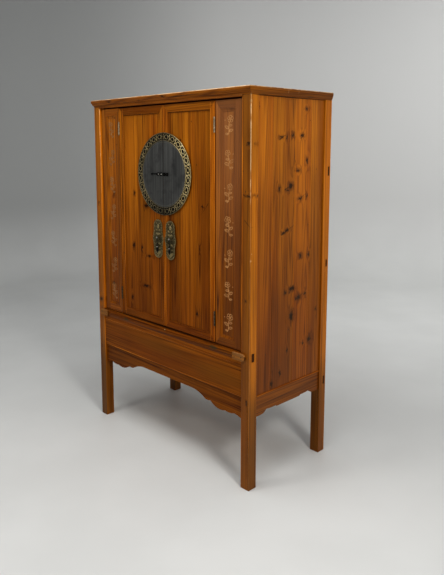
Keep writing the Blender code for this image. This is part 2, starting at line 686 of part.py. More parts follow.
def make_hinges(side, word, iron):
    """Two butt hinges: outer knuckles on the leaf, middle knuckle and pin on the door."""
    on_leaf, on_door = [], []
    for centre, level in zip(HINGE_CENTRES, ("bottom", "top")):
        low, high = centre - HINGE_HEIGHT / 2, centre + HINGE_HEIGHT / 2
        outer = hinge_half(f"hinge_{word}_{level}_leaf_half", side, 1, centre, (0, 2), iron)
        bore_radius = HINGE_PIN_RADIUS + PIN_PLAY
        bore = [(low - CUT_REACH, bore_radius), (high + CUT_REACH, bore_radius)]
        cut(outer, turned("bore", bore, (side * LEAF_SEAM, HINGE_Y, 0), (0, 0, 1), iron, 20))
        inner = hinge_half(f"hinge_{word}_{level}_door_half", side, -1, centre, (1,), iron)
        foot = [(low - HINGE_TIP_HEIGHT, HINGE_TIP_RADIUS), (low - HINGE_HEAD_HEIGHT, HINGE_HEAD_RADIUS),
                (low - KNUCKLE_GAP, HINGE_HEAD_RADIUS), (low - KNUCKLE_GAP, HINGE_PIN_RADIUS)]
        pin = foot + [(low + high - z, radius) for z, radius in reversed(foot)]
        fuse(inner, turned("pin", pin, (side * LEAF_SEAM, HINGE_Y, 0), (0, 0, 1), iron, 20))
        on_leaf.append(outer)
        on_door.append(inner)
    return on_leaf, on_door


def make_round_plate(side, word, iron):
    """Half of the round plate over the meeting stiles, with two lugs for the bolt."""
    edge = DOOR_GAP / 2
    lean = math.asin(edge / PLATE_RADIUS)
    outline = []
    for k in range(33):
        angle = -math.pi / 2 + lean + (math.pi - 2 * lean) * k / 32
        x, z = PLATE_RADIUS * math.cos(angle), PLATE_RADIUS * math.sin(angle)
        outline.append((side * x, PLATE_CENTRE_Z + z))
    plate = prism(f"round_plate_{word}", outline, "y", PLATE_FRONT, PLATE_FRONT + PLATE_THICKNESS, iron)
    root = PLATE_FRONT + PLATE_THICKNESS / 2
    tip = arc((BOLT_Y, PLATE_CENTRE_Z + LUG_RADIUS), (BOLT_Y, PLATE_CENTRE_Z - LUG_RADIUS),
              LUG_RADIUS - HALF_ROUND, 10)
    lug = [(root, PLATE_CENTRE_Z + LUG_RADIUS), (BOLT_Y, PLATE_CENTRE_Z + LUG_RADIUS)] + tip
    lug.append((root, PLATE_CENTRE_Z - LUG_RADIUS))
    for inside in LUG_INSIDES:
        x = sorted((side * inside, side * (inside + LUG_THICKNESS)))
        fuse(plate, prism("lug", lug, "x", x[0], x[1], iron))
    reach = max(LUG_INSIDES) + LUG_THICKNESS + CUT_REACH
    bore = [(0.0, BOLT_RADIUS + 2 * PIN_PLAY), (side * reach, BOLT_RADIUS + 2 * PIN_PLAY)]
    cut(plate, turned("bore", bore, (0, BOLT_Y, PLATE_CENTRE_Z), (1, 0, 0), iron))
    return plate


def make_bolt(iron):
    """The sliding bolt, drawn back into the left door's lugs so that both doors open."""
    start = BOLT_END - BOLT_LENGTH
    profile = [(start - BOLT_HEAD_LENGTH, BOLT_HEAD_RADIUS * 0.7),
               (start - BOLT_HEAD_LENGTH * 0.6, BOLT_HEAD_RADIUS),
               (start, BOLT_HEAD_RADIUS), (start, BOLT_RADIUS),
               (BOLT_END - BOLT_CHAMFER, BOLT_RADIUS), (BOLT_END, BOLT_RADIUS * 0.6)]
    return turned("lock_bolt", profile, (0, BOLT_Y, PLATE_CENTRE_Z), (1, 0, 0), iron)


def make_pull_plate(side, word, brass):
    """A long escutcheon with rounded ends and side ears, and the clevis of its drop."""
    w, h, ear = PULL_HALF_WIDTH, PULL_HALF_HEIGHT, PULL_EAR
    corner = (w, PULL_WAIST)
    notch = (w + ear * 0.3, PULL_WAIST * 0.53)
    quarter = [(0, h)] + arc((0, h), (w, h - w), -PULL_SHOULDER, 6) + [corner]
    quarter += arc(corner, notch, -PULL_HOLLOW, 4)
    quarter += arc(notch, (w + ear, 0.0), -PULL_HOLLOW, 4)
    right = quarter + [(x, -z) for x, z in reversed(quarter[:-1])]
    left = [(-x, z) for x, z in reversed(right[1:-1])]
    centre = side * PULL_CENTRE_X
    outline = [(centre + x, PULL_CENTRE_Z + z) for x, z in right + left]
    plate = prism(f"pull_plate_{word}", outline, "y", PLATE_FRONT, PLATE_FRONT + PLATE_THICKNESS, brass)
    base = [(-PLATE_THICKNESS / 2, PULL_BASE_RADIUS), (PULL_BASE_THICKNESS * 0.6, PULL_BASE_RADIUS),
            (PULL_BASE_THICKNESS, PULL_BASE_RADIUS * 0.8)]
    fuse(plate, turned("base", base, (centre, PLATE_FRONT, PULL_AXIS_Z), (0, -1, 0), brass, 20))
    root = PLATE_FRONT - PULL_BASE_THICKNESS / 2
    tip = arc((PULL_AXIS_Y, PULL_AXIS_Z + CHEEK_RADIUS), (PULL_AXIS_Y, PULL_AXIS_Z - CHEEK_RADIUS),
              CHEEK_RADIUS - HALF_ROUND, 8)
    cheek = [(root, PULL_AXIS_Z + CHEEK_RADIUS), (PULL_AXIS_Y, PULL_AXIS_Z + CHEEK_RADIUS)] + tip
    cheek.append((root, PULL_AXIS_Z - CHEEK_RADIUS))
    for hand in (-1, 1):
        x = sorted((centre + hand * CHEEK_INSIDE, centre + hand * (CHEEK_INSIDE + CHEEK_THICKNESS)))
        fuse(plate, prism("cheek", cheek, "x", x[0], x[1], brass))
    reach = CHEEK_INSIDE + 2 * CHEEK_THICKNESS
    bore = [(-reach, DROP_PIN_RADIUS + PIN_PLAY), (reach, DROP_PIN_RADIUS + PIN_PLAY)]
    cut(plate, turned("bore", bore, (centre, PULL_AXIS_Y, PULL_AXIS_Z), (1, 0, 0), brass, 12))
    return plate


def make_drop(side, word, brass):
    """A turned drop that hangs from its cross pin and swings out to be pulled."""
    origin = (side * PULL_CENTRE_X, PULL_AXIS_Y, PULL_AXIS_Z)
    profile = [(0.0, 0.0016), (0.008, 0.0016), (0.011, 0.0028), (0.014, 0.0018), (0.024, 0.0022),
               (0.044, 0.0038), (0.056, 0.0052), (0.064, 0.0050), (0.070, 0.0032), (0.073, 0.0030),
               (0.0765, 0.0022), (DROP_LENGTH, 0.0008)]
    drop = turned(f"pull_drop_{word}", profile, origin, (0, 0, -1), brass)
    half = CHEEK_INSIDE - PIN_PLAY
    reach = CHEEK_INSIDE + CHEEK_THICKNESS + PIN_PLAY
    pin = [(-reach, DROP_PIN_RADIUS), (-half, DROP_PIN_RADIUS), (-half, CHEEK_RADIUS),
           (half, CHEEK_RADIUS), (half, DROP_PIN_RADIUS), (reach, DROP_PIN_RADIUS)]
    fuse(drop, turned("pin", pin, origin, (1, 0, 0), brass))
    return drop


# ---------------------------------------------------------------- the cabinet

def build():
    clear_scene()
    pine = make_material("lacquered_pine", (0.42, 0.16, 0.035), 0.32)
    worn = make_material("worn_pine", (0.55, 0.34, 0.15), 0.45)
    brass = make_material("aged_brass", (0.28, 0.22, 0.11), 0.42, 1.0)
    iron = make_material("dark_patinated_brass", (0.06, 0.06, 0.065), 0.45, 1.0)

    make_posts(pine)
    front_rail = make_top_frame(pine)
    add_lintel_lip(front_rail, pine)
    make_sill(pine)
    make_pivot_blocks(worn)
    make_front_boards(pine)
    make_sides(pine)
    make_back(pine)
    lid = make_inside(pine)
    hang([lid], axis_empty("floor_lid_slide", (0, 0, FLOOR_LOW)))

    for side, word in ((-1, "left"), (1, "right")):
        pivot = axis_empty(f"leaf_{word}_pivot", (side * PIVOT_X, PIVOT_Y, LEAF_LOW))
        hinge = axis_empty(f"door_{word}_hinge", (side * LEAF_SEAM, HINGE_Y, LEAF_LOW), pivot)
        swing = axis_empty(f"pull_{word}_swing", (side * PULL_CENTRE_X, PULL_AXIS_Y, PULL_AXIS_Z), hinge)
        on_leaf, on_door = make_hinges(side, word, iron)
        hang(make_leaf(side, word, pine) + on_leaf, pivot)
        hang(make_door(side, word, pine) + on_door, hinge)
        hang([make_round_plate(side, word, iron), make_pull_plate(side, word, brass)], hinge)
        hang([make_drop(side, word, brass)], swing)
        if side < 0:
            slide = axis_empty("lock_bolt_slide", (0, BOLT_Y, PLATE_CENTRE_Z), hinge)
            hang([make_bolt(iron)], slide)


build()
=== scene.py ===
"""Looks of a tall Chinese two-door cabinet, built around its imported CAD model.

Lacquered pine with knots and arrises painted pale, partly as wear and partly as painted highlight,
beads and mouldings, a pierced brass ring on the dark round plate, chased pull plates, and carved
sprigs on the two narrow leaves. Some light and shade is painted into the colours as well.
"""

import math
import random

import bmesh
import bpy
from mathutils import Matrix, Vector


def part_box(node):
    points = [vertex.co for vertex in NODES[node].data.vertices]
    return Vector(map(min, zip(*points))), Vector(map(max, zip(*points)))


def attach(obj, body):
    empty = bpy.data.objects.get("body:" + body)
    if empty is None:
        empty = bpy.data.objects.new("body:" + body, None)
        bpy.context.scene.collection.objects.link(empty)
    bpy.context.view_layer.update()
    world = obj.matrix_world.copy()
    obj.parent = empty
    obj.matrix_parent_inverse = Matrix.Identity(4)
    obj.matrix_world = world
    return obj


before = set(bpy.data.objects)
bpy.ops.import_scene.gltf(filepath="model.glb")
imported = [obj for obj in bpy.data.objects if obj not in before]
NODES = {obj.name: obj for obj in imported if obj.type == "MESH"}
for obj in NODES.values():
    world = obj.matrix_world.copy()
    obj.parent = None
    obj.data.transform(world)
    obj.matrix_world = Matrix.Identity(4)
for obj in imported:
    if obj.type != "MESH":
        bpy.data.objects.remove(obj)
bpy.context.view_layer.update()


def low(node):
    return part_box(node)[0]


def high(node):
    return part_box(node)[1]


# Planes and lines of the cabinet, read from its nodes
SIDE = high("post_front_right").x
FRONT = low("post_front_right").y
BACK = high("post_rear_right").y
HEIGHT = high("top_rail_front").z
POST_INSIDE = low("post_front_right").x
POST_BEHIND = high("post_front_right").y
POST_BEFORE = low("post_rear_right").y
FRAME_LOW = high("post_front_right").z
SIDE_FACE = high("side_panel_right").x
APRON_TOP = high("side_rail_right").z
PANEL_FACE = low("front_panel").y
SILL_TOP = high("sill").z
SILL_LOW = low("sill").z
LEAF_FRONT = low("door_right_meeting_stile").y
LEAF_LOW = low("door_right_meeting_stile").z
LEAF_HIGH = high("door_right_meeting_stile").z
STILE = high("door_right_meeting_stile").x - low("door_right_meeting_stile").x
RAIL = 0.036
DOOR_NEAR = low("door_right_meeting_stile").x
DOOR_FAR = high("door_right_hinge_stile").x
LEAF_NEAR = low("leaf_right_inner_stile").x
PIVOT_STILE = low("leaf_right_pivot_stile").x
PANEL_PLANE = LEAF_FRONT + 0.006
PLATE_FACE = LEAF_FRONT - 0.0023
PLATE_CENTRE_Z = (low("round_plate_right").z + high("round_plate_right").z) / 2
PLATE_RADIUS = (high("round_plate_right").z - low("round_plate_right").z) / 2
RING_INSIDE = 0.1625
RING_EDGE = low("round_plate_right").x + 0.0004  # the ring's ends at the seam
PULL_X = (low("pull_plate_right").x + high("pull_plate_right").x) / 2
PULL_Z = (low("pull_plate_right").z + high("pull_plate_right").z) / 2
PULL_HIGH = high("pull_plate_right").z - PULL_Z
PULL_EAR = 0.0085
PULL_WIDE = high("pull_plate_right").x - PULL_X - PULL_EAR


# ---- materials

class Paint:
    """A material's node tree, built with short calls. Sockets and plain numbers mix."""

    def __init__(self, name):
        self.material = bpy.data.materials.new(name)
        self.material.use_nodes = True
        self.tree = self.material.node_tree
        self.tree.nodes.clear()
        self.output = self.tree.nodes.new("ShaderNodeOutputMaterial")
        self.shader = self.tree.nodes.new("ShaderNodeBsdfPrincipled")
        self.tree.links.new(self.shader.outputs[0], self.output.inputs["Surface"])
        self.coordinates = self.tree.nodes.new("ShaderNodeTexCoord")
        self.point = self.coordinates.outputs["Object"]

    def put(self, value, target):
        if isinstance(value, bpy.types.NodeSocket):
            self.tree.links.new(value, target)
        elif hasattr(value, "__len__") and len(value) == 3 and target.type == "RGBA":
            target.default_value = (*value, 1.0)
        else:
            target.default_value = value

    def math(self, operation, a, b=0.0, c=0.0, clamp=False):
        node = self.tree.nodes.new("ShaderNodeMath")
        node.operation = operation
        node.use_clamp = clamp
        for value, target in zip((a, b, c), node.inputs):
            self.put(value, target)
        return node.outputs[0]

    def vector(self, operation, a, b=(0, 0, 0), c=(0, 0, 0)):
        node = self.tree.nodes.new("ShaderNodeVectorMath")
        node.operation = operation
        for value, target in zip((a, b, c), node.inputs):
            self.put(value, target)
        return node.outputs["Value" if operation in ("LENGTH", "DOT_PRODUCT") else "Vector"]

    def split(self, vector):
        node = self.tree.nodes.new("ShaderNodeSeparateXYZ")
        self.put(vector, node.inputs[0])
        return node.outputs

    def join(self, x, y, z):
        node = self.tree.nodes.new("ShaderNodeCombineXYZ")
        for value, target in zip((x, y, z), node.inputs):
            self.put(value, target)
        return node.outputs[0]

    def noise(self, vector, scale=1.0, detail=2.0, roughness=0.5, distortion=0.0, colour=False):
        node = self.tree.nodes.new("ShaderNodeTexNoise")
        self.put(vector, node.inputs["Vector"])
        node.inputs["Scale"].default_value = scale
        node.inputs["Detail"].default_value = detail
        node.inputs["Roughness"].default_value = roughness
        node.inputs["Distortion"].default_value = distortion
        return node.outputs["Color" if colour else "Fac"]

    def stretched(self, vector, scale, detail, roughness, distortion=0.0):
        """Noise with a scale of its own along each axis."""
        return self.noise(self.vector("MULTIPLY", vector, scale), 1.0, detail, roughness, distortion)

    def cells(self, vector):
        node = self.tree.nodes.new("ShaderNodeTexVoronoi")
        self.put(vector, node.inputs["Vector"])
        node.inputs["Scale"].default_value = 1.0
        return node.outputs["Distance"]

    def between(self, value, start, end, first=0.0, last=1.0):
        node = self.tree.nodes.new("ShaderNodeMapRange")
        node.interpolation_type = "SMOOTHSTEP"
        for target, number in zip(("Value", "From Min", "From Max", "To Min", "To Max"),
                                  (value, start, end, first, last)):
            self.put(number, node.inputs[target])
        return node.outputs[0]

    def mix(self, share, a, b, blend="MIX"):
        node = self.tree.nodes.new("ShaderNodeMix")
        node.data_type = "RGBA"
        node.blend_type = blend
        self.put(share, node.inputs[0])
        self.put(a, node.inputs[6])
        self.put(b, node.inputs[7])
        return node.outputs[2]

    def fold(self, operation, values):
        total = values[0]
        for value in values[1:]:
            total = self.math(operation, total, value)
        return total

    def add(self, *values):
        return self.fold("ADD", values)

    def times(self, *values):
        return self.fold("MULTIPLY", values)

    def times_plus(self, a, b, c):
        return self.math("MULTIPLY_ADD", a, b, c)

    def distance(self, point, centre):
        return self.vector("LENGTH", self.vector("SUBTRACT", point, centre))

    def reach(self, place, centre, scale):
        """Distance from a centre, with a scale of its own along each of the two axes."""
        (a, b), (s, t) = centre, scale
        return self.vector("LENGTH", self.vector("MULTIPLY_ADD", place, (s, t, 0), (-a * s, -b * t, 0)))

    def scaled(self, colour, shade):
        product = self.vector("SCALE", colour)
        self.put(shade, product.node.inputs["Scale"])
        return product

    def bump(self, height, distance, strength=1.0):
        node = self.tree.nodes.new("ShaderNodeBump")
        node.inputs["Strength"].default_value = strength
        node.inputs["Distance"].default_value = distance
        self.put(height, node.inputs["Height"])
        self.tree.links.new(node.outputs[0], self.shader.inputs["Normal"])

    def set(self, **values):
        for name, value in values.items():
            self.put(value, self.shader.inputs[name.replace("_", " ")])


AXES = {"x": 0, "y": 1, "z": 2}
HONEY = (0.52, 0.18, 0.01)
AMBER = (0.345, 0.1, 0.005)
RUSSET = (0.12, 0.027, 0.002)
RED_PINE = (0.15, 0.036, 0.006)
KNOT = (0.026, 0.0075, 0.0025)
KNOT_HALO = (0.1, 0.024, 0.003)
BARE = (0.56, 0.33, 0.15)
# pale colour of arrises: partly wear, partly painted highlight
WORN_AND_LIT_WOOD = (0.95, 0.66, 0.38)
END_GRAIN = (0.06, 0.022, 0.008)
# painted shade, multiplied into the wood towards the bottom where less light falls
LOW_SHADE_TINT = (0.5, 0.36, 0.16)
SHEEN_TINT = (1.0, 0.84, 0.5)
KNOT_CORE = 0.58  # a knot's core as a share of its radius
SIDEWAYS = (0.5, 0.9)  # a face looks sideways as the x of its normal goes from one to the other
FOOT_FADE = (0.56, 0.3)  # heights between which a leg's foot fades into its painted light and shade
BOARD_SHIFTS = ((3.71, 1.37), (1.93, 2.11), (5.17, 0.73))  # along each axis, by board and by seed


def knot_tones(p, bent, ragged, knots, stretch):
    """Pull on the grain, core and halo of the nearest knot, each from 0 to 1."""
    near = None
    for a, b, radius, squash in knots:
        core = KNOT_CORE * radius
        d = p.reach(bent, (a, b), (stretch[0] / (core * squash), stretch[1] * squash / core))
        near = d if near is None else p.math("MINIMUM", near, d)
    uneven = p.times_plus(ragged, 2.0, p.math("ADD", near, -1.0))
    return p.between(near, 6.0, 0.0), p.between(uneven, 1.25, 0.85), p.between(uneven, 3.4, 0.9)


def paint_patches(p, colour, place, ragged, patches):
    """Patches of colour: stains, painted shadow lines and painted sheen. Broad ones have soft edges, small
    ones ragged edges.
    """
    for a, b, half_u, half_v, tint in patches:
        broad = half_u > 0.09 and half_v > 0.02
        uneven, inner, strength = (0.3, 0.3, 0.6) if broad else (0.9, 0.8, 0.75)
        d = p.reach(place, (a, b), (1 / half_u, 1 / half_v))
        spot = p.between(p.times_plus(ragged, uneven, d), 1.5, inner)
        colour = p.mix(p.times(spot, strength), colour, tint)
    return colour


def crack(p, colour, place, bend, ragged, cracks):
    """Dark lines that run a little wavy."""
    wavy = p.vector("MULTIPLY_ADD", bend, (0.012, 0.009, 0.0), place) if cracks else None
    for a0, b0, a1, b1, half in cracks:
        run = Vector((a1 - a0, b1 - b0, 0.0))
        away = p.vector("SUBTRACT", wavy, (a0, b0, 0.0))
        share = p.math("ADD", p.vector("DOT_PRODUCT", away, tuple(run / run.length_squared)), clamp=True)
        nearest = p.vector("MULTIPLY", p.join(share, share, 0.0), tuple(run))
        d = p.add(p.distance(away, nearest), p.times(share, half * 0.8), p.times(ragged, half))
        colour = p.mix(p.times(p.between(d, half * 2.0, half), 0.85), colour, KNOT)
    return colour


def worn_and_lit_arrises(p, colour, axes, arrises):
    """Arrises painted pale in places, partly as wear and partly as a painted highlight, stronger high up."""
    patchiness = p.noise(p.point, 17.0, 3.0, 0.65)
    for axis, a, b, width in arrises:
        apart = [axes[k] for k in "xyz" if k != axis]
        d = p.distance(p.join(*apart, 0.0), (a, b, 0.0))
        pale_share = p.times(p.between(d, width, width * 0.45), p.between(patchiness, 0.36, 0.6, 0.2, 0.9),
                      p.between(axes["z"], 1.15, 1.65, 0.08, 1.0))
        colour = p.mix(pale_share, colour, WORN_AND_LIT_WOOD)
    return colour


def pine(name, along, seed, light=1.0, red=0.0, seams=None, knots=(), face="xz", patches=(), chips=(),
         arrises=(), cracks=(), gloss=0.3, bare=0.0, low_dark=0.35, ring=1.0, sheen=0.12,
         side_light=None, foot=None, figure=0.7):
    """Lacquered pine whose grain runs along one axis.

    Seams are (axis, places) of the joints between boards. Knots are (place, place, radius,
    squash) on the plane named by face, wide where squash is over 1. Patches are (place,
    place, half width, half height, colour): stains, painted shadow lines and painted sheen.
    Cracks are (place, place, place, place, half width) of lines that thin out towards their
    second end. Chips are (x, y, z, radius) of spots where an arris is knocked bare. Arrises
    are (axis, place, place, width): edges painted pale along an axis, partly as wear and
    partly as a painted highlight, stronger high up. Light scales the colour: tone, and where
    pieces of one wood differ, painted light and shade. Side_light is the painted light of the
    faces that look sideways. Foot is the painted light and shade of a leg's foot on the faces
    that look ahead and sideways. Low_dark is painted shade that darkens the colour towards the bottom.
    """
    p = Paint(name)
    axes = dict(zip("xyz", p.split(p.point)))
    across = [a for a in "xyz" if a != along]
    grain = p.join(axes[across[0]], axes[across[1]], axes[along])
    board = 0.0
    if seams:
        axis, places = seams
        board = p.add(*[p.math("GREATER_THAN", axes[axis], place) for place in places])
    shift = [p.times_plus(board, step, seed * spread) for step, spread in BOARD_SHIFTS]
    q = p.vector("ADD", grain, p.join(*shift))

    ragged = p.stretched(grain, (170, 170, 70), 2.0, 0.6)
    bend = p.vector("SUBTRACT", p.noise(p.point, 50.0, 2.0, 0.6, colour=True), (0.5, 0.5, 0.5))
    place = p.join(axes[face[0]], axes[face[1]], 0.0)
    pull = core = halo = 0.0
    if knots:
        bent = p.vector("MULTIPLY_ADD", bend, (0.03, 0.024, 0.0), place)
        stretch = (1.0, 0.85) if along == face[1] else (0.85, 1.0)
        pull, core, halo = knot_tones(p, bent, ragged, knots, stretch)

    broad = p.stretched(q, (11, 11, 0.24), 1.5, 0.45, 0.08)
    phase = p.times_plus(pull, 0.8, p.math("MULTIPLY", broad, 24.0 * ring))
    wave = p.math("SINE", p.math("MULTIPLY", phase, 2 * math.pi))
    late = p.math("POWER", p.times_plus(wave, 0.5, 0.5), 3.4)
    streak = p.stretched(q, (185, 185, 2.2), 3.0, 0.66)
    fibre = p.stretched(q, (620, 620, 14), 2.0, 0.6)
    tone = p.stretched(q, (15, 15, 0.9), 2.0, 0.5)
    cloud = p.stretched(q, (3.1, 3.1, 2.3), 2.0, 0.55)
    board_tone = p.math("FRACT", p.times_plus(board, 0.618, seed * 0.317 + 0.2))

    colour = p.mix(p.between(tone, 0.32, 0.7), HONEY, AMBER)
    lines = p.add(p.times(late, 0.8), p.between(streak, 0.5, 0.64, 0.0, 0.9))
    colour = p.mix(p.math("MULTIPLY", lines, figure, clamp=True), colour, RUSSET)
    colour = p.mix(p.times(p.between(fibre, 0.6, 0.78), 0.28), colour, RUSSET)
    if red:
        colour = p.mix(red, colour, RED_PINE)
    colour = p.mix(p.times(halo, 0.62), colour, KNOT_HALO)
    colour = p.mix(p.times(core, 0.93), colour, KNOT)
    if bare:
        pale_share = p.between(p.add(cloud, p.times(streak, 0.35)), 0.52, 0.78)
        colour = p.mix(p.times_plus(pale_share, bare * 0.5, bare * 0.5), colour, BARE)
    # Painted shade: the colour darkens towards the bottom, where less light falls.
    if low_dark:
        colour = p.mix(p.between(axes["z"], 1.7, 0.5, 0.0, 2.2 * low_dark), colour, LOW_SHADE_TINT, "MULTIPLY")
    rough = p.times_plus(streak, 0.14, gloss + 0.02)
    nick = p.between(p.cells(p.vector("MULTIPLY", q, (15, 15, 9))), 0.05, 0.032)
    colour = p.mix(p.times(nick, 0.75), colour, KNOT)
    height = p.add(*[p.times(part, weight) for part, weight in
                     ((nick, -1.5), (late, -0.35), (streak, -0.5), (fibre, -0.25), (core, -0.7))])

    shade = p.add(p.between(board_tone, 0.0, 1.0, 0.82, 1.18), p.between(cloud, 0.25, 0.75, -0.13, 0.13))
    facing = p.split(p.coordinates.outputs["Normal"])
    # Painted light: faces that look sideways get a brightness of their own.
    if side_light is not None:
        light = p.between(p.math("ABSOLUTE", facing[0]), *SIDEWAYS, light, side_light)
    shade = p.times(shade, light)
    # Painted light and shade at a leg's foot, by the way each face looks.
    if foot:
        share = p.between(p.math("ABSOLUTE", facing[0]), *SIDEWAYS, *foot)
        shade = p.times(shade, p.between(axes["z"], *FOOT_FADE, 1.0, share))

    colour = paint_patches(p, colour, place, ragged, patches)
    colour = crack(p, colour, place, bend, ragged, cracks)
    colour = worn_and_lit_arrises(p, colour, axes, arrises)
    for *centre, radius in chips:
        d = p.times_plus(ragged, radius * 1.2, p.distance(p.point, centre))
        spot = p.between(d, radius * 1.35, radius * 0.95)
        colour = p.mix(p.times(spot, 0.85), colour, BARE)
        rough = p.times_plus(spot, 0.25, rough)
        height = p.times_plus(spot, -2.0, height)

    ends = p.between(p.math("ABSOLUTE", facing[AXES[along]]), 0.8, 0.95)
    colour = p.mix(p.times(ends, 0.72), colour, END_GRAIN)
    p.set(Base_Color=p.scaled(colour, shade), Roughness=rough, Specular_IOR_Level=sheen,
          Specular_Tint=SHEEN_TINT)
    p.bump(height, 0.00035, 0.8)
    return p.material


def dark_plate_material(name):
    """Dark patinated sheet inside the ring, nearly black under the pierced ring and the bolt."""
    p = Paint(name)
    x, y, z = p.split(p.point)
    radius = p.vector("LENGTH", p.join(x, 0.0, p.math("SUBTRACT", z, PLATE_CENTRE_Z)))
    streak = p.stretched(p.point, (110, 110, 3.0), 3.0, 0.6)
    cloud = p.noise(p.point, 14.0, 3.0, 0.6)
    speck = p.noise(p.point, 420.0, 2.0, 0.6)
    colour = p.mix(p.between(streak, 0.35, 0.72), (0.085, 0.085, 0.082), (0.15, 0.149, 0.142))
    colour = p.mix(p.between(cloud, 0.45, 0.75, 0.0, 0.6), colour, (0.038, 0.038, 0.038))
    colour = p.mix(p.between(speck, 0.66, 0.74, 0.0, 0.5), colour, (0.02, 0.018, 0.016))
    line = p.between(p.math("ABSOLUTE", p.math("SUBTRACT", radius, RING_INSIDE - 0.007)), 0.0012, 0.0004)
    colour = p.mix(p.times(line, 0.55), colour, (0.23, 0.21, 0.16))
    under = p.between(radius, RING_INSIDE - 0.0005, RING_INSIDE + 0.0005)
    colour = p.mix(under, colour, (0.014, 0.012, 0.01))
    proud = p.between(y, PLATE_FACE - 0.0003, PLATE_FACE - 0.001)
    colour = p.mix(p.times(proud, p.between(radius, 0.12, 0.11)), colour, (0.01, 0.009, 0.008))
    rough = p.add(p.between(streak, 0.3, 0.75, 0.4, 0.56), p.times(under, 0.25))
    p.set(Base_Color=colour, Metallic=0.75, Roughness=rough)
    height = p.add(p.times(streak, 0.5), p.times(cloud, 0.8), p.times(line, -1.5))
    p.bump(height, 0.0003, 0.7)
    return p.material


def tinted(colour, strength):
    return tuple(part * strength for part in colour)


def brass_material(name, bright, worn, glow=None):
    """Aged olive brass: brown patina in the hollows, rubbed bright on the high spots.

    Glow is painted light: how much brighter the round plate's right side is painted; its foot is painted
    darker as shade.
    """
    p = Paint(name)
    cloud = p.noise(p.point, 55.0, 3.0, 0.6)
    fine = p.noise(p.point, 520.0, 3.0, 0.65)
    colour = p.mix(p.between(cloud, 0.35, 0.7), tinted((0.3, 0.235, 0.105), bright),
                   tinted((0.125, 0.1, 0.055), bright))
    pale_share = p.between(p.add(fine, p.times(cloud, 0.4)), 0.66, 0.86)
    colour = p.mix(p.times(pale_share, worn), colour, (0.8, 0.64, 0.34))
    colour = p.mix(p.between(fine, 0.42, 0.3, 0.0, 0.6), colour, (0.035, 0.028, 0.018))
    # Painted light and shade: brighter towards the right, darker towards the foot.
    if glow:
        place = p.split(p.point)
        shade_below = p.between(place[2], PLATE_CENTRE_Z - 0.2, PLATE_CENTRE_Z - 0.06, 0.45, 1.0)
        colour = p.scaled(colour, p.times(p.between(place[0], 0.0, 0.17, 0.9, glow), shade_below))
    rough = p.times_plus(fine, 0.3, 0.22)
    p.set(Base_Color=colour, Metallic=0.6 if glow else 0.92, Roughness=rough)
    p.bump(p.add(fine, p.times(cloud, 0.6)), 0.00035, 0.6)
    return p.material


def iron_material(name, colour, rough, painted_highlights=()):
    """Old iron or hinge brass, with bands (axis, middle, half width) painted bright as highlights."""
    p = Paint(name)
    cloud = p.noise(p.point, 90.0, 3.0, 0.6)
    fine = p.noise(p.point, 700.0, 2.0, 0.6)
    shade = p.mix(p.between(cloud, 0.4, 0.7), colour, tinted(colour, 2.4))
    for axis, middle, half in painted_highlights:
        band = p.math("ABSOLUTE", p.math("SUBTRACT", p.split(p.point)[AXES[axis]], middle))
        shade = p.mix(p.between(band, half, half * 0.75), shade, (0.8, 0.78, 0.72))
    p.set(Base_Color=shade, Metallic=0.8, Roughness=p.times_plus(fine, 0.25, rough - 0.1))
    p.bump(p.add(fine, cloud), 0.0002, 0.6)
    return p.material


def carving_material(name, pale):
    """Bare, slightly dusty pine where the lacquer was cut through."""
    p = Paint(name)
    fine = p.stretched(p.point, (300, 300, 60), 2.0, 0.6)
    cloud = p.noise(p.point, 30.0, 2.0, 0.6)
    colour = p.mix(p.between(cloud, 0.3, 0.7), tinted((0.6, 0.31, 0.11), pale),
                   tinted((0.42, 0.19, 0.055), pale))
    colour = p.mix(p.between(fine, 0.55, 0.75, 0.0, 0.6), colour, (0.22, 0.09, 0.025))
    p.set(Base_Color=colour, Roughness=p.times_plus(fine, 0.2, 0.42))
    p.bump(fine, 0.0002, 0.6)
    return p.material


# ---- making shapes

LET_IN = 0.0003  # how far beads and mouldings are let into their face


def new_object(name, data):
    made = bpy.data.objects.new(name, data)
    bpy.context.scene.collection.objects.link(made)
    return made


def add_piece(name, bm, material, body):
    bmesh.ops.recalc_face_normals(bm, faces=bm.faces)
    mesh = bpy.data.meshes.new(name)
    bm.to_mesh(mesh)
    bm.free()
    mesh.materials.append(material)
    mesh.shade_smooth()
    mesh.set_sharp_from_angle(angle=math.radians(40))
    piece = new_object(name, mesh)
    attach(piece, body)


def skin(bm, rings, closed=False, caps=True):
    """Faces from ring to ring, and over both ends unless the run of rings is closed."""
    spans = list(zip(rings, rings[1:]))
    if closed:
        spans.append((rings[-1], rings[0]))
    for first, second in spans:
        for i in range(len(first)):
            j = (i + 1) % len(first)
            bm.faces.new((first[i], first[j], second[j], second[i]))
    if caps and not closed:
        bm.faces.new(list(reversed(rings[0])))
        bm.faces.new(rings[-1])


def strip(bm, path, section, closed=False, taper=1.0):
    """Sweep a section, (across, out) pairs, along a path of (point, across, out) frames."""
    rings = []
    for k, (point, across, out) in enumerate(path):
        scale = taper if not closed and k in (0, len(path) - 1) else 1.0
        rings.append([bm.verts.new(point + across * (a * scale) + out * (b * scale)) for a, b in section])
    skin(bm, rings, closed)


def half_round(width, proud, steps=6):
    """Section of a half-round bead that stands proud of a face and is let in a little."""
    points = [(-width / 2, -LET_IN)]
    for k in range(steps + 1):
        angle = math.pi * k / steps
        points.append((-width / 2 * math.cos(angle), proud * math.sin(angle)))
    points.append((width / 2, -LET_IN))
    return points


def line_path(start, end, across, out, pieces):
    start, end = Vector(start), Vector(end)
    return [(start.lerp(end, k / pieces), Vector(across), Vector(out)) for k in range(pieces + 1)]


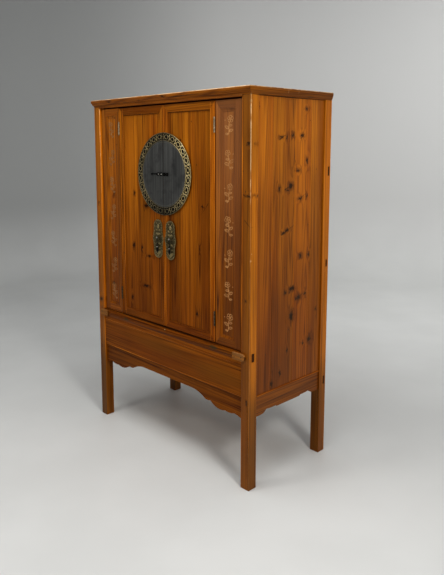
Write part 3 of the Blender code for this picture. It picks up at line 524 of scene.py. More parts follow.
def flat_path(points, y):
    """Frames along points (x, z) drawn on a plane that faces the front."""
    frames = []
    for k, (x, z) in enumerate(points):
        a, b = points[max(k - 1, 0)], points[min(k + 1, len(points) - 1)]
        run = Vector((b[0] - a[0], 0, b[1] - a[1])).normalized()
        frames.append((Vector((x, y, z)), Vector((-run.z, 0, run.x)), Vector((0, -1, 0))))
    return frames


RIDGE = ((-0.5, -0.15), (-0.4, 0.62), (0.0, 1.0), (0.4, 0.62), (0.5, -0.15))


def ribbon(bm, points, y, widths, height):
    """A low ridge along points (x, z): as wide as widths says, highest in the middle."""
    rings = []
    for (point, across, out), width in zip(flat_path(points, y), widths):
        rings.append([bm.verts.new(point + across * (a * width) + out * (b * height)) for a, b in RIDGE])
    skin(bm, rings)


def dome(bm, x, z, y, radius, height, segments, rings, stretch=1.0):
    """A low dome, such as a nail head, on a face that looks ahead."""
    def level(share, out):
        ring = []
        for k in range(segments):
            angle = 2 * math.pi * k / segments
            flat = (math.cos(angle) * radius * share, math.sin(angle) * radius * share * stretch)
            ring.append(bm.verts.new((x + flat[0], y - out, z + flat[1])))
        return ring
    levels = [level(1.0, -0.0004)]
    for r in range(rings):
        tilt = math.pi / 2 * r / rings
        levels.append(level(math.cos(tilt), height * math.sin(tilt)))
    skin(bm, levels, caps=False)
    tip = bm.verts.new((x, y - height, z))
    for k in range(segments):
        bm.faces.new((levels[-1][k], levels[-1][(k + 1) % segments], tip))
    bm.faces.new(list(reversed(levels[0])))


def dress(node, material, bevel, segments):
    """Give a CAD node its material, and round its arrises with modifiers."""
    piece = NODES[node]
    piece.data.materials.clear()
    piece.data.materials.append(material)
    weld = piece.modifiers.new("weld", "WELD")
    weld.merge_threshold = 0.00002
    if bevel:
        edge = piece.modifiers.new("arris", "BEVEL")
        edge.width = bevel
        edge.segments = segments
        edge.limit_method = "ANGLE"
        edge.angle_limit = math.radians(34)
        edge.use_clamp_overlap = True
        edge.miter_outer = "MITER_ARC"
    normals = piece.modifiers.new("normals", "WEIGHTED_NORMAL")
    normals.keep_sharp = False
    normals.weight = 60


def dress_pine(node, along, seed, bevel=0.001, segments=2, **looks):
    """Dress a CAD node in pine of its own, with looks as pine() takes them."""
    dress(node, pine(f"pine_{node}", along, seed, **looks), bevel, segments)


# ---- the camera and the room

CAMERA_PLACE = (2.3352, -2.2068, 1.5478)
CAMERA_TURN = (-46.926, -7.9195, -0.2371)  # yaw, pitch and roll in degrees


def make_camera():
    data = bpy.data.cameras.new("camera")
    data.sensor_width = 36.0
    data.lens = 38.49
    data.shift_x = 0.0372
    data.shift_y = -0.0957
    camera = new_object("camera", data)
    yaw, pitch, roll = (math.radians(angle) for angle in CAMERA_TURN)
    forward = Vector((math.sin(yaw) * math.cos(pitch), math.cos(yaw) * math.cos(pitch), math.sin(pitch)))
    level = Vector((math.cos(yaw), -math.sin(yaw), 0))
    upright = level.cross(forward)
    right = level * math.cos(roll) + upright * math.sin(roll)
    up = upright * math.cos(roll) - level * math.sin(roll)
    turn = Matrix((right, up, -forward)).transposed().to_4x4()
    camera.matrix_world = Matrix.Translation(CAMERA_PLACE) @ turn
    bpy.context.scene.camera = camera


FLOOR_REACH = 4.2  # radius at which the floor starts to curve up
CURVE = 0.9
WALL_TOP = 3.6


def make_stage():
    """A pale, slightly glossy floor that curves up into plain walls."""
    profile = [(3.0, 0.0), (FLOOR_REACH, 0.0)]
    for k in range(1, 9):
        angle = math.pi / 2 * k / 8
        profile.append((FLOOR_REACH + CURVE * math.sin(angle), CURVE - CURVE * math.cos(angle)))
    profile += [(FLOOR_REACH + CURVE, 2.0), (FLOOR_REACH + CURVE, WALL_TOP)]
    bm = bmesh.new()
    rings = []
    turns = [-2 * math.pi * k / 96 for k in range(96)]
    for radius, z in profile:
        rings.append([bm.verts.new((radius * math.cos(turn), radius * math.sin(turn), z)) for turn in turns])
    skin(bm, rings, caps=False)
    bm.faces.new(list(reversed(rings[0])))
    mesh = bpy.data.meshes.new("floor")
    bm.to_mesh(mesh)
    bm.free()
    mesh.shade_smooth()
    p = Paint("pale_floor")
    place = p.split(p.point)
    cloud = p.noise(p.point, 1.6, 3.0, 0.5)
    colour = p.mix(p.between(cloud, 0.3, 0.7), (0.66, 0.665, 0.65), (0.7, 0.705, 0.69))
    wall = p.between(place[2], 0.05, CURVE)
    # Painted shade: the walls on the left are darker, as if less lit.
    wall_colour = p.mix(p.between(place[0], -4.8, -3.4), (0.42, 0.425, 0.42), (0.64, 0.64, 0.63))
    colour = p.mix(wall, colour, wall_colour)
    p.set(Base_Color=colour, Roughness=p.times_plus(wall, 0.45, 0.4), Specular_IOR_Level=0.25)
    mesh.materials.append(p.material)
    floor = new_object("floor", mesh)


LAMP_WHITE = (1.0, 0.985, 0.96)


def area_light(name, place, target, size, power, colour=(1, 1, 1), mirrored=True):
    data = bpy.data.lights.new(name, "AREA")
    data.shape = "RECTANGLE"
    data.size, data.size_y = size
    data.energy = power
    data.color = colour
    light = new_object(name, data)
    light.location = place
    light.visible_glossy = mirrored
    light.rotation_mode = "QUATERNION"
    light.rotation_quaternion = (Vector(target) - Vector(place)).to_track_quat("-Z", "Y")


def make_lights():
    area_light("key_side", (3.4, -1.3, 2.9), (0.4, 0.0, 0.9), (0.6, 0.6), 48, LAMP_WHITE)
    area_light("key_front", (-0.5, -2.4, 2.7), (0.0, -0.2, 0.9), (0.6, 0.6), 13, LAMP_WHITE)
    area_light("overhead", (0.6, -0.8, 3.9), (0.4, -0.6, 0), (2.6, 2.6), 74, mirrored=False)
    area_light("wall", (0.8, 2.6, 3.0), (-0.9, 5.1, 1.7), (2.6, 1.6), 50, mirrored=False)
    world = bpy.data.worlds.new("room")
    world.use_nodes = True
    background = world.node_tree.nodes["Background"]
    background.inputs["Color"].default_value = (0.8, 0.82, 0.85, 1)
    background.inputs["Strength"].default_value = 0.25
    bpy.context.scene.world = world
    bpy.context.scene.view_settings.view_transform = "Standard"
    bpy.context.scene.view_settings.look = "Medium High Contrast"


# ---- wood on the CAD nodes

# Knots as (place, place, radius, squash), and cracks as pine takes them
RIGHT_KNOTS = [
    (-0.07, 1.59, 0.01, 1.5), (-0.03, 1.59, 0.011, 0.7), (0.01, 1.6, 0.009, 0.8),
    (0.08, 1.6, 0.012, 1.3), (0.12, 1.48, 0.012, 0.8), (0.05, 1.44, 0.012, 1.5), (-0.08, 1.36, 0.013, 1.0),
    (0.0, 1.37, 0.016, 1.1), (-0.02, 1.35, 0.009, 1.4), (0.07, 1.31, 0.013, 1.5), (0.12, 1.32, 0.008, 0.7),
    (-0.05, 1.16, 0.009, 1.7), (-0.02, 1.17, 0.009, 1.5), (0.08, 1.04, 0.012, 1.2),
    (0.14, 1.04, 0.011, 0.9), (0.02, 0.89, 0.014, 1.6), (-0.03, 0.88, 0.01, 1.0), (0.07, 0.84, 0.018, 1.3),
    (0.12, 0.85, 0.008, 0.8), (0.02, 0.76, 0.02, 0.9), (0.21, 0.76, 0.008, 0.7), (0.16, 0.62, 0.016, 1.2),
    (0.11, 0.61, 0.008, 1.0), (-0.01, 0.6, 0.008, 0.7), (-0.06, 0.5, 0.01, 0.7),
    (-0.22, 1.72, 0.007, 0.7), (0.11, 1.72, 0.01, 1.3), (-0.12, 0.46, 0.012, 0.7)]
LEFT_DOOR_KNOTS = [
    (-0.33, 1.56, 0.008, 0.7), (-0.25, 1.31, 0.01, 0.9), (-0.15, 1.25, 0.014, 1.5),
    (-0.26, 1.03, 0.013, 0.7), (-0.19, 1.02, 0.011, 0.5), (-0.13, 0.99, 0.01, 1.6),
    (-0.16, 0.83, 0.015, 1.9), (-0.28, 0.75, 0.01, 0.8)]
RIGHT_DOOR_KNOTS = [
    (0.25, 1.07, 0.008, 0.9), (0.23, 0.76, 0.01, 0.8), (0.27, 1.27, 0.007, 1.3), (0.12, 1.58, 0.006, 1.0)]
POST_KNOTS = [(0.57, 1.56, 0.008, 1.2), (0.57, 1.34, 0.009, 1.5), (0.56, 0.88, 0.006, 1.0)]
LEFT_POST_KNOTS = [(-0.56, 0.69, 0.014, 1.2), (-0.56, 1.24, 0.006, 1.0)]
REAR_POST_KNOTS = [(0.556, 1.1, 0.007, 1.2), (-0.556, 0.9, 0.008, 1.0)]
LEFT_LEAF_KNOTS = [(-0.43, 1.3, 0.012, 0.7), (-0.45, 0.8, 0.01, 1.2)]
BACK_KNOTS = [
    (-0.42, 1.5, 0.014, 1.3), (-0.22, 1.1, 0.012, 0.8), (0.08, 1.62, 0.013, 1.5), (0.27, 0.8, 0.016, 1.1),
    (0.45, 1.25, 0.012, 0.7), (-0.05, 0.62, 0.015, 1.2), (-0.33, 0.7, 0.01, 1.6)]
RIGHT_CRACKS = [
    (0.05, 1.44, 0.03, 1.49, 0.0022), (0.06, 1.305, 0.11, 1.33, 0.0028), (-0.06, 1.152, 0.03, 1.19, 0.0026),
    (-0.04, 1.355, 0.01, 1.38, 0.003), (0.0, 0.872, 0.045, 0.915, 0.0028),
    (0.05, 0.832, 0.11, 0.86, 0.0034), (0.02, 0.76, 0.035, 0.795, 0.0034), (0.02, 0.75, 0.0, 0.655, 0.0016),
    (-0.11, 0.53, -0.12, 0.44, 0.0014), (0.07, 1.585, 0.1, 1.61, 0.0026),
    (-0.08, 1.58, -0.04, 1.6, 0.0034)]
LEFT_DOOR_CRACKS = [
    (-0.19, 1.05, -0.2, 0.97, 0.0018), (-0.13, 0.995, -0.155, 0.985, 0.0024),
    (-0.145, 0.835, -0.19, 0.825, 0.0034)]
RIGHT_DOOR_CRACKS = [(0.31, 1.29, 0.26, 1.235, 0.0016)]
NEAR_POST_CRACKS = [
    (0.548, 1.235, 0.582, 1.205, 0.002), (0.54, 1.345, 0.57, 1.33, 0.002),
    (0.562, 1.565, 0.582, 1.558, 0.002)]
WEDGES = [
    (-0.042, 1.786, 0.0022, 0.011, BARE), (0.03, 1.788, 0.0018, 0.009, BARE),
    (0.12, 1.772, 0.03, 0.0022, KNOT), (-0.2, 1.768, 0.04, 0.0022, KNOT)]
RIM_KNOTS = [(-0.42, 1.788, 0.007, 1.8), (0.02, 1.79, 0.008, 2.0), (-0.17, 1.778, 0.005, 1.8)]
RIM_CRACKS = [(0.1, 1.782, 0.28, 1.786, 0.0014), (-0.3, 1.775, -0.16, 1.778, 0.0012)]
# painted sheen: a reflection painted on the upper right leaf
PAINTED_SHEEN = (0.3, 0.125, 0.055)
GREY_STAIN = (0.075, 0.06, 0.028)
PALE_GLOW = ((0.27, 0.098, 0.007), (0.22, 0.08, 0.006))
# painted shade in the seam between the doors, and painted shadow in the gap at their foot
SEAM_SHADE = (0.012, 0.008, 0.005)
DOOR_FOOT_SHADE = (0.014, 0.006, 0.003)
PAINTED_SHEEN_PATCH = (0.45, 1.75, 0.2, 0.75, PAINTED_SHEEN)
CORNER_CHIPS = [
    (SIDE, FRONT, HEIGHT - 0.004, 0.01), (SIDE, FRONT, HEIGHT - 0.036, 0.008),
    (SIDE, FRONT, HEIGHT - 0.062, 0.011), (SIDE, FRONT, HEIGHT - 0.09, 0.01),
    (SIDE, FRONT + 0.004, 1.06, 0.008), (SIDE, FRONT, 1.62, 0.005), (SIDE, FRONT + 0.01, 1.09, 0.005)]
BOARD_ARRIS = 0.0008
DOOR_ARRIS = 0.0009
SEAM_ARRIS = 0.0004
WORDS = ("left", "right")
HANDS = ((-1, "left"), (1, "right"))


def dress_posts():
    """The near post is worn most, and its outer arris carries a painted highlight. Its foot is painted
    lighter in front and darker at the side; the feet of the others fade into painted shade.
    """
    for k, (node, knots, foot) in enumerate((("post_front_right", POST_KNOTS, (1.2, 0.45)),
                                             ("post_front_left", LEFT_POST_KNOTS, (0.45, 0.35)),
                                             ("post_rear_right", REAR_POST_KNOTS, (0.6, 0.52)),
                                             ("post_rear_left", REAR_POST_KNOTS, (0.6, 0.52)))):
        near = k == 0
        side, face = (-1 if "left" in node else 1), (BACK if "rear" in node else FRONT)
        edges = [("z", side * SIDE, face, 0.0042 if near else 0.003), ("z", side * POST_INSIDE, face, 0.002)]
        dress_pine(node, "z", 3.1 + 2.3 * k, 0.0022, 3, light=0.7, side_light=1.25, foot=foot, knots=knots,
                   figure=0.42, chips=CORNER_CHIPS if near else (), arrises=edges, low_dark=0.12, ring=0.7,
                   sheen=0.35, cracks=NEAR_POST_CRACKS if near else ())


def dress_top():
    for k, (node, along, edge) in enumerate((("top_rail_front", "x", low("top_rail_front").y),
                                             ("top_rail_right", "y", high("top_rail_right").x),
                                             ("top_rail_rear", "x", high("top_rail_rear").y),
                                             ("top_rail_left", "y", low("top_rail_left").x))):
        rims = [(along, edge, HEIGHT, 0.0042), (along, edge, low(node).z + 0.008, 0.0016)]
        marks = {"knots": RIM_KNOTS, "cracks": RIM_CRACKS}
        if node == "top_rail_right":
            marks = {"face": "yz", "patches": WEDGES}
        dress_pine(node, along, 21.3 + 1.7 * k, light=0.66, red=0.15, low_dark=0, chips=CORNER_CHIPS[:2],
                   arrises=rims, sheen=0.3, **marks)
    dress_pine("top_panel", "x", 31.0, BOARD_ARRIS, light=0.75, red=0.2, low_dark=0, gloss=0.4,
               seams=("y", (-0.07, 0.08)))


def dress_low_front():
    """The sill with its two nailed blocks, the deep plain panel and the scalloped apron."""
    # The dark line along the sill's top is painted shadow from the gap under the doors; the grey patches are
    # stains.
    dress_pine("sill", "x", 41.0, light=0.8, low_dark=0.3,
               patches=[(0.0, SILL_TOP, 0.6, 0.003, KNOT), (0.36, 0.625, 0.035, 0.012, GREY_STAIN),
                        (-0.32, 0.62, 0.03, 0.01, GREY_STAIN)])
    for k, word in enumerate(WORDS):
        # The dark line along each block's foot is painted shade; its top arris is painted pale, as wear and
        # highlight.
        block = f"pivot_block_{word}"
        dress_pine(block, "x", 45.0 + k, 0.006, 4, light=0.66, bare=0.5, low_dark=0.1,
                   arrises=[("x", FRONT - 0.01, high(block).z, 0.008)],
                   patches=[(0.0, SILL_LOW + 0.001, 0.6, 0.005, KNOT)])
    # The last patch, a dark line under the sill, is painted shadow under the sill's nose.
    glow = [(0.38, 0.5, 0.24, 0.05, PALE_GLOW[0]), (-0.05, 0.53, 0.26, 0.045, PALE_GLOW[1]),
            (0.0, SILL_LOW, 0.6, 0.0028, KNOT)]
    dress_pine("front_panel", "x", 51.0, BOARD_ARRIS, light=0.88, low_dark=0.26, figure=0.6, patches=glow,
               seams=("z", (0.583,)), ring=0.8)
    dress_pine("front_apron", "x", 57.0, light=0.86, red=0.25, low_dark=0.28, ring=0.7)


def dress_sides():
    span = POST_BEFORE - POST_BEHIND
    seams = ("y", tuple(POST_BEHIND + share * span for share in (0.22, 0.55, 0.8)))
    # Painted shadow lines: by the rear post, under the top rail and along the ledge.
    shadow_lines = [(POST_BEFORE - 0.0005, 1.1, 0.0035, 0.72, KNOT), (0.0, FRAME_LOW, 0.3, 0.0045, KNOT),
            (0.0, APRON_TOP - 0.001, 0.3, 0.0035, KNOT)]
    mirrored = [(-y, 2.15 - z, radius, squash) for y, z, radius, squash in RIGHT_KNOTS[:22]]
    for word, seed, knots, cracks in (("right", 61, RIGHT_KNOTS, RIGHT_CRACKS), ("left", 66, mirrored, ())):
        dress_pine(f"side_panel_{word}", "z", seed, SEAM_ARRIS, 1, light=1.05, seams=seams, knots=knots,
                   cracks=cracks, patches=shadow_lines, face="yz", low_dark=0.36, sheen=0.4, figure=0.54)
    for k, word in enumerate(WORDS):
        dress_pine(f"side_rail_{word}", "y", 71.0 + 3 * k, light=0.9, red=0.2, low_dark=0.3, ring=0.7,
                   sheen=0.4)


def dress_back():
    seams = ("x", tuple(POST_INSIDE * share for share in (-0.66, -0.35, 0.0, 0.34, 0.69)))
    dress_pine("back_panel", "z", 81.0, SEAM_ARRIS, 1, light=0.8, red=0.1, seams=seams, knots=BACK_KNOTS,
               gloss=0.5, bare=0.22)
    for k, node in enumerate(("back_rail_bottom", "back_rail_middle")):
        dress_pine(node, "x", 85.0 + k, 0.0012, light=0.8, gloss=0.42)


def dress_inside():
    for k, node in enumerate(("bottom_board", "floor_board", "floor_lid", "shelf")):
        knots = [(-0.3 + 0.15 * k, 0.05, 0.012, 1.0), (0.25 - 0.1 * k, -0.08, 0.01, 1.3)]
        dress_pine(node, "x", 91.0 + 2 * k, BOARD_ARRIS, light=0.95, gloss=0.5, bare=0.4, low_dark=0,
                   face="xy", knots=knots)


def dress_door(side, word, seed):
    # Painted shade in the seam by the plate, and painted shadow at the doors' foot.
    gap_shade = [(0.0, PLATE_CENTRE_Z, 0.01, 0.2, SEAM_SHADE), (0.0, LEAF_LOW, 0.6, 0.0035, DOOR_FOOT_SHADE)]
    for k, (part, along, light, red) in enumerate((
            ("meeting_stile", "z", 0.92, 0.05), ("hinge_stile", "z", 1.2 if side > 0 else 0.95, 0.0),
            ("top_rail", "x", 0.72, 0.25), ("bottom_rail", "x", 0.8, 0.15))):
        dress_pine(f"door_{word}_{part}", along, seed + 3.3 * k, DOOR_ARRIS, light=light, red=red,
                   low_dark=0.36, patches=gap_shade)
    near, far = DOOR_NEAR + STILE, DOOR_FAR - STILE
    places = tuple(sorted(side * (near + share * (far - near)) for share in (0.28, 0.63)))
    knots = LEFT_DOOR_KNOTS if side < 0 else RIGHT_DOOR_KNOTS
    cracks = LEFT_DOOR_CRACKS if side < 0 else RIGHT_DOOR_CRACKS
    dress_pine(f"door_{word}_panel", "z", seed + 17, 0.0, light=0.86, seams=("x", places), knots=knots,
               cracks=cracks, low_dark=0.38, figure=0.6)


def dress_leaf(side, word, seed):
    for k, (part, along, light, red) in enumerate((
            ("inner_stile", "z", 0.96, 0.05), ("pivot_stile", "z", 0.8, 0.3),
            ("top_rail", "x", 0.8, 0.25), ("bottom_rail", "x", 0.88, 0.15), ("panel", "z", 0.92, 0.05))):
        panel = part == "panel"
        dress_pine(f"leaf_{word}_{part}", along, seed + 2.9 * k, 0.0 if panel else DOOR_ARRIS, light=light,
                   red=red, knots=LEFT_LEAF_KNOTS if side < 0 and panel else (),
                   patches=[PAINTED_SHEEN_PATCH] if side > 0 else (), low_dark=0.32, sheen=0.3)


def dress_metal():
    plate = dark_plate_material("dark_plate")
    brass = brass_material("aged_brass", 0.2, 0.45)
    # The top hinges are painted lighter than the bottom ones, as painted light.
    hinges = {"bottom": iron_material("shaded_hinge_brass", (0.07, 0.052, 0.032), 0.4),
              "top": iron_material("lit_hinge_brass", (0.26, 0.22, 0.15), 0.34)}
    # The bright bands on the bolt and the drop are painted highlights.
    bolt_highlights = (("x", -0.016, 0.017), ("x", 0.026, 0.004))
    drop_highlights = (("z", 1.101, 0.007), ("z", 1.052, 0.0016))
    bolt = iron_material("bolt_iron", (0.006, 0.006, 0.006), 0.35, bolt_highlights)
    drop = iron_material("drop_iron", (0.01, 0.009, 0.008), 0.3, drop_highlights)
    thin, thick = 0.0003, 0.0004
    for word in WORDS:
        dress(f"round_plate_{word}", plate, thick, 1)
        dress(f"pull_plate_{word}", brass, thick, 1)
        dress(f"pull_drop_{word}", drop, thin, 1)
        for level in ("bottom", "top"):
            for half in ("leaf", "door"):
                dress(f"hinge_{word}_{level}_{half}_half", hinges[level], thin, 1)
    dress("lock_bolt", bolt, thin, 1)


# ---- beads and mouldings

FRAME_SECTION = [
    (-0.0002, -LET_IN), (-0.0002, 0.005), (0.0012, 0.0052), (0.0026, 0.004), (0.0034, 0.002),
    (0.0044, 0.0012), (0.0046, -LET_IN)]
WIDE_SECTION = [
    (-0.0002, -LET_IN), (-0.0002, 0.0054), (0.001, 0.0056), (0.0018, 0.0046), (0.013, 0.0012),
    (0.014, 0.0016), (0.015, 0.0012), (0.0154, -LET_IN)]
OVOLO = [
    (0.0, -LET_IN), (0.0, 0.0056), (0.0014, 0.0058), (0.0032, 0.0046), (0.0044, 0.0024), (0.0052, 0.0012),
    (0.0054, -LET_IN)]
BEAD_STOP = 0.004  # how far beads stop short of the ends of a stile
DISC_GAP = 0.002


def bead_line(name, start, end, across, width, proud, material, body):
    bm = bmesh.new()
    strip(bm, line_path(start, end, across, (0, -1, 0), 6), half_round(width, proud), taper=0.55)
    add_piece(name, bm, material, body)


def upright_bead(name, x, y, z_range, width, proud, material, body):
    bead_line(name, (x, y, z_range[0]), (x, y, z_range[1]), (1, 0, 0), width, proud, material, body)


def rectangle_moulding(name, x_range, section, material, body):
    """A mitred moulding round the inside of a door's or leaf's frame."""
    (x0, x1), (z0, z1) = x_range, (LEAF_LOW + RAIL, LEAF_HIGH - RAIL)
    corners = [((x0, z0), (1, 1)), ((x1, z0), (-1, 1)), ((x1, z1), (-1, -1)), ((x0, z1), (1, -1))]
    ahead = Vector((0, -1, 0))
    path = [(Vector((x, PANEL_PLANE, z)), Vector((a, 0, b)), ahead) for (x, z), (a, b) in corners]
    bm = bmesh.new()
    strip(bm, path, section, closed=True)
    add_piece(name, bm, material, body)


def side_moulding(name, side, start, end, across, pieces, material):
    """A moulding on a side panel, from start to end as (y, z)."""
    x = side * SIDE_FACE
    bm = bmesh.new()
    strip(bm, line_path((x, *start), (x, *end), across, (side, 0, 0), pieces), OVOLO)
    add_piece(name, bm, material, "carcass")


def make_beads():
    # Painted light: the beads on the posts and stiles are painted bright as highlights, and the frame
    # moulding dark as shade.
    highlit_bead = pine("pine_bead_highlit", "z", 201.0, light=1.3, low_dark=0.2, sheen=0.3)
    shaded_frame_bead = pine("pine_bead_frame_shaded", "z", 207.0, light=0.62, red=0.35, low_dark=0.3, sheen=0.15)
    long_bead = pine("pine_bead_long", "x", 213.0, light=1.05, red=0.1, low_dark=0.1, sheen=0.2)
    side_bead = pine("pine_bead_side", "z", 219.0, light=1.15, red=0.25, low_dark=0.25, sheen=0.3)
    ledge_bead = pine("pine_bead_ledge", "y", 225.0, light=1.1, red=0.2, low_dark=0.1, sheen=0.3)
    whole = (LEAF_LOW + BEAD_STOP, LEAF_HIGH - BEAD_STOP)
    under_disc = (whole[0], PLATE_CENTRE_Z - PLATE_RADIUS - DISC_GAP)
    over_disc = (PLATE_CENTRE_Z + PLATE_RADIUS + DISC_GAP, whole[1])
    for side, word in HANDS:
        upright_bead(f"bead_post_{word}", side * (POST_INSIDE + 0.0024), FRONT,
                     (SILL_TOP + 0.006, FRAME_LOW - BEAD_STOP), 0.0038, 0.0012, highlit_bead, "carcass")
        door, leaf = f"door_{word}", f"leaf_{word}"
        for part, z_range in (("low", under_disc), ("high", over_disc)):
            upright_bead(f"bead_meeting_{word}_{part}", side * (DOOR_NEAR + 0.0026), LEAF_FRONT, z_range,
                         0.0036, 0.001, highlit_bead, door)
        for part, x in (("outer", DOOR_FAR - 0.0024), ("inner", DOOR_FAR - STILE + 0.0024)):
            upright_bead(f"bead_hinge_stile_{word}_{part}", side * x, LEAF_FRONT, whole, 0.0034, 0.001,
                         highlit_bead, door)
        upright_bead(f"bead_leaf_{word}", side * (LEAF_NEAR + 0.0022), LEAF_FRONT, whole, 0.003, 0.0008,
                     shaded_frame_bead, leaf)
        x_range = sorted((side * (DOOR_NEAR + STILE), side * (DOOR_FAR - STILE)))
        rectangle_moulding(f"moulding_door_{word}", x_range, FRAME_SECTION, shaded_frame_bead, door)
        x_range = sorted((side * (LEAF_NEAR + STILE), side * PIVOT_STILE))
        # The leaf mouldings carry the painted sheen where it falls on the right leaf.
        sheened_moulding = pine(f"pine_moulding_leaf_{word}", "z", 231.0, light=0.9, red=0.2, low_dark=0.32, sheen=0.25,
                    patches=[PAINTED_SHEEN_PATCH])
        rectangle_moulding(f"moulding_leaf_{word}", x_range, WIDE_SECTION, sheened_moulding, leaf)
        side_moulding(f"moulding_side_{word}_upright", side, (POST_BEHIND + 0.0002, APRON_TOP + 0.001),
                      (POST_BEHIND + 0.0002, FRAME_LOW - 0.001), (0, 1, 0), 8, side_bead)
        side_moulding(f"moulding_side_{word}_ledge", side, (POST_BEHIND + 0.0056, APRON_TOP + 0.0006),
                      (POST_BEFORE - 0.001, APRON_TOP + 0.0006), (0, 0, 1), 6, ledge_bead)
    reach = POST_INSIDE - 0.001
    for name, z, width, proud in (("bead_panel_top", 0.58, 0.004, 0.0014),
                                  ("bead_panel_foot", APRON_TOP + 0.004, 0.0046, 0.0016)):
        bead_line(name, (-reach, PANEL_FACE, z), (reach, PANEL_FACE, z), (0, 0, 1), width, proud, long_bead,
                  "carcass")


# ---- carved sprigs

SPRIGS = 7
TOP_SPRIG = 1.64
SPRIG_STEP = 0.1475
SPRIG_STRETCH = (1.32, 1.12)  # sideways and upwards
SPRIG_LEAVES = ((3, 1.15, 0.021), (5, -1.05, 0.023), (7, 1.35, 0.017), (1, -1.5, 0.015))
CUT = 0.0008  # how high the lip of a cut stands


def bezier(a, b, c, d, steps):
    points = []
    for k in range(steps + 1):
        t = k / steps
        w = ((1 - t) ** 3, 3 * t * (1 - t) ** 2, 3 * t * t * (1 - t), t ** 3)
        points.append(tuple(sum(wi * q[i] for wi, q in zip(w, (a, b, c, d))) for i in (0, 1)))
    return points


def swelling(count, thin, thick):
    """Widths of a cut that starts and ends fine."""
    return [thin + (thick - thin) * math.sin(math.pi * (k + 0.5) / count) for k in range(count)]


def turned(root, angle, size):
    """A function from (ahead, aside) to (x, z), where ahead leans by angle from upright."""
    def place(ahead, aside):
        a, b = ahead * size, aside * size
        return (root[0] + a * math.sin(angle) + b * math.cos(angle),
                root[1] + a * math.cos(angle) - b * math.sin(angle))
    return place


def carve_leaf(bm, root, angle, length, y, hand):
    """A leaf as two bent cuts and a vein."""
    place = turned(root, angle, length)
    for bulge in (0.3, -0.24):
        points = bezier(place(0, 0), place(0.3, bulge * 1.25), place(0.75, bulge), place(1, 0.08 * hand), 7)
        ribbon(bm, points, y, swelling(8, 0.0012, 0.0028), CUT)
    vein = bezier(place(0.08, 0), place(0.3, 0), place(0.6, 0.03 * hand), place(0.86, 0.05 * hand), 4)
    ribbon(bm, vein, y, swelling(5, 0.0008, 0.0015), 0.0005)


def carve_blossom(bm, centre, size, y, turn):
    """Five open petals round a small eye."""
    for k in range(5):
        place = turned(centre, turn + 2 * math.pi * k / 5, size)
        root, tip = place(0.22, 0), place(0.98, 0)
        points = bezier(root, place(0.6, 0.62), place(1.15, 0.42), tip, 6)
        other = bezier(tip, place(1.15, -0.42), place(0.6, -0.62), root, 6)
        ribbon(bm, points + other[1:], y, swelling(13, 0.0013, 0.0025), CUT)
    dome(bm, *centre, y, 0.16 * size, CUT, 8, 2)


def make_sprigs(materials):
    """Small carved sprigs down each narrow leaf, no two quite alike."""
    rng = random.Random(7)
    y = PANEL_PLANE
    for side, word in HANDS:
        x = side * ((LEAF_NEAR + STILE + PIVOT_STILE) / 2 + 0.003)
        for k in range(SPRIGS):
            z = TOP_SPRIG - SPRIG_STEP * k
            hand = 1 if (k + (side > 0)) % 2 else -1
            bm = bmesh.new()
            foot, head = (x - hand * 0.006, z - 0.038), (x + hand * 0.006, z + 0.017)
            stem = bezier(foot, (x + hand * 0.008, z - 0.022), (x - hand * 0.01, z - 0.002), head, 10)
            ribbon(bm, stem, y, swelling(11, 0.0016, 0.0032), CUT)
            blossom = rng.uniform(0.0115, 0.014)
            carve_blossom(bm, (head[0], head[1] + 0.008), blossom, y, rng.uniform(0, 1.2))
            for place, angle, length in SPRIG_LEAVES:
                angle = hand * angle + rng.uniform(-0.15, 0.15)
                carve_leaf(bm, stem[place], angle, length * rng.uniform(0.9, 1.12), y, hand)
            dome(bm, x - hand * 0.019, z + 0.012 + rng.uniform(0, 0.01), y, 0.0022, CUT, 8, 2)
            for vert in bm.verts:
                vert.co.x = x + (vert.co.x - x) * SPRIG_STRETCH[0]
                vert.co.z = z + (vert.co.z - z) * SPRIG_STRETCH[1]
            add_piece(f"sprig_{word}_{k + 1}", bm, materials[word], f"leaf_{word}")


# ---- brass

RING_UNITS = 12  # open eyes in each half of the ring
RING_HIGH = 0.0013


def polar(radius, angle):
    return (radius * math.sin(angle), PLATE_CENTRE_Z + radius * math.cos(angle))


def scroll(turns, steps):
    """A scroll curled at both ends, about one unit from eye to eye, level."""
    points = []
    for sign in (-1, 1):
        a = b = 0.0
        run = [(0.0, 0.0)]
        for k in range(1, steps + 1):
            u = turns * (k - 0.5) / steps
            a += math.cos(math.pi * u * u / 2) * turns / steps
            b += math.sin(math.pi * u * u / 2) * turns / steps
            run.append((sign * a, sign * b))
        points = list(reversed(run[1:])) + points if sign < 0 else points + run
    return [((a + b) / 2, (b - a) / 2) for a, b in points]


SCROLL = scroll(2.0, 16)


def make_rims(material, side, word):
    """Plain rims of half the ring, from seam to seam."""
    bm = bmesh.new()
    for radius, width, height in ((PLATE_RADIUS - 0.0018, 0.003, RING_HIGH),
                                  (RING_INSIDE + 0.0014, 0.0026, RING_HIGH),
                                  (RING_INSIDE + 0.0056, 0.001, 0.0008),
                                  (PLATE_RADIUS - 0.0058, 0.001, 0.0008)):
        first = math.asin(RING_EDGE / radius)
        points = [polar(radius, side * (first + (math.pi - 2 * first) * k / 72)) for k in range(73)]
        ribbon(bm, points, PLATE_FACE, [width] * 73, height)
    add_piece(f"ring_rims_{word}", bm, material, f"door_{word}")


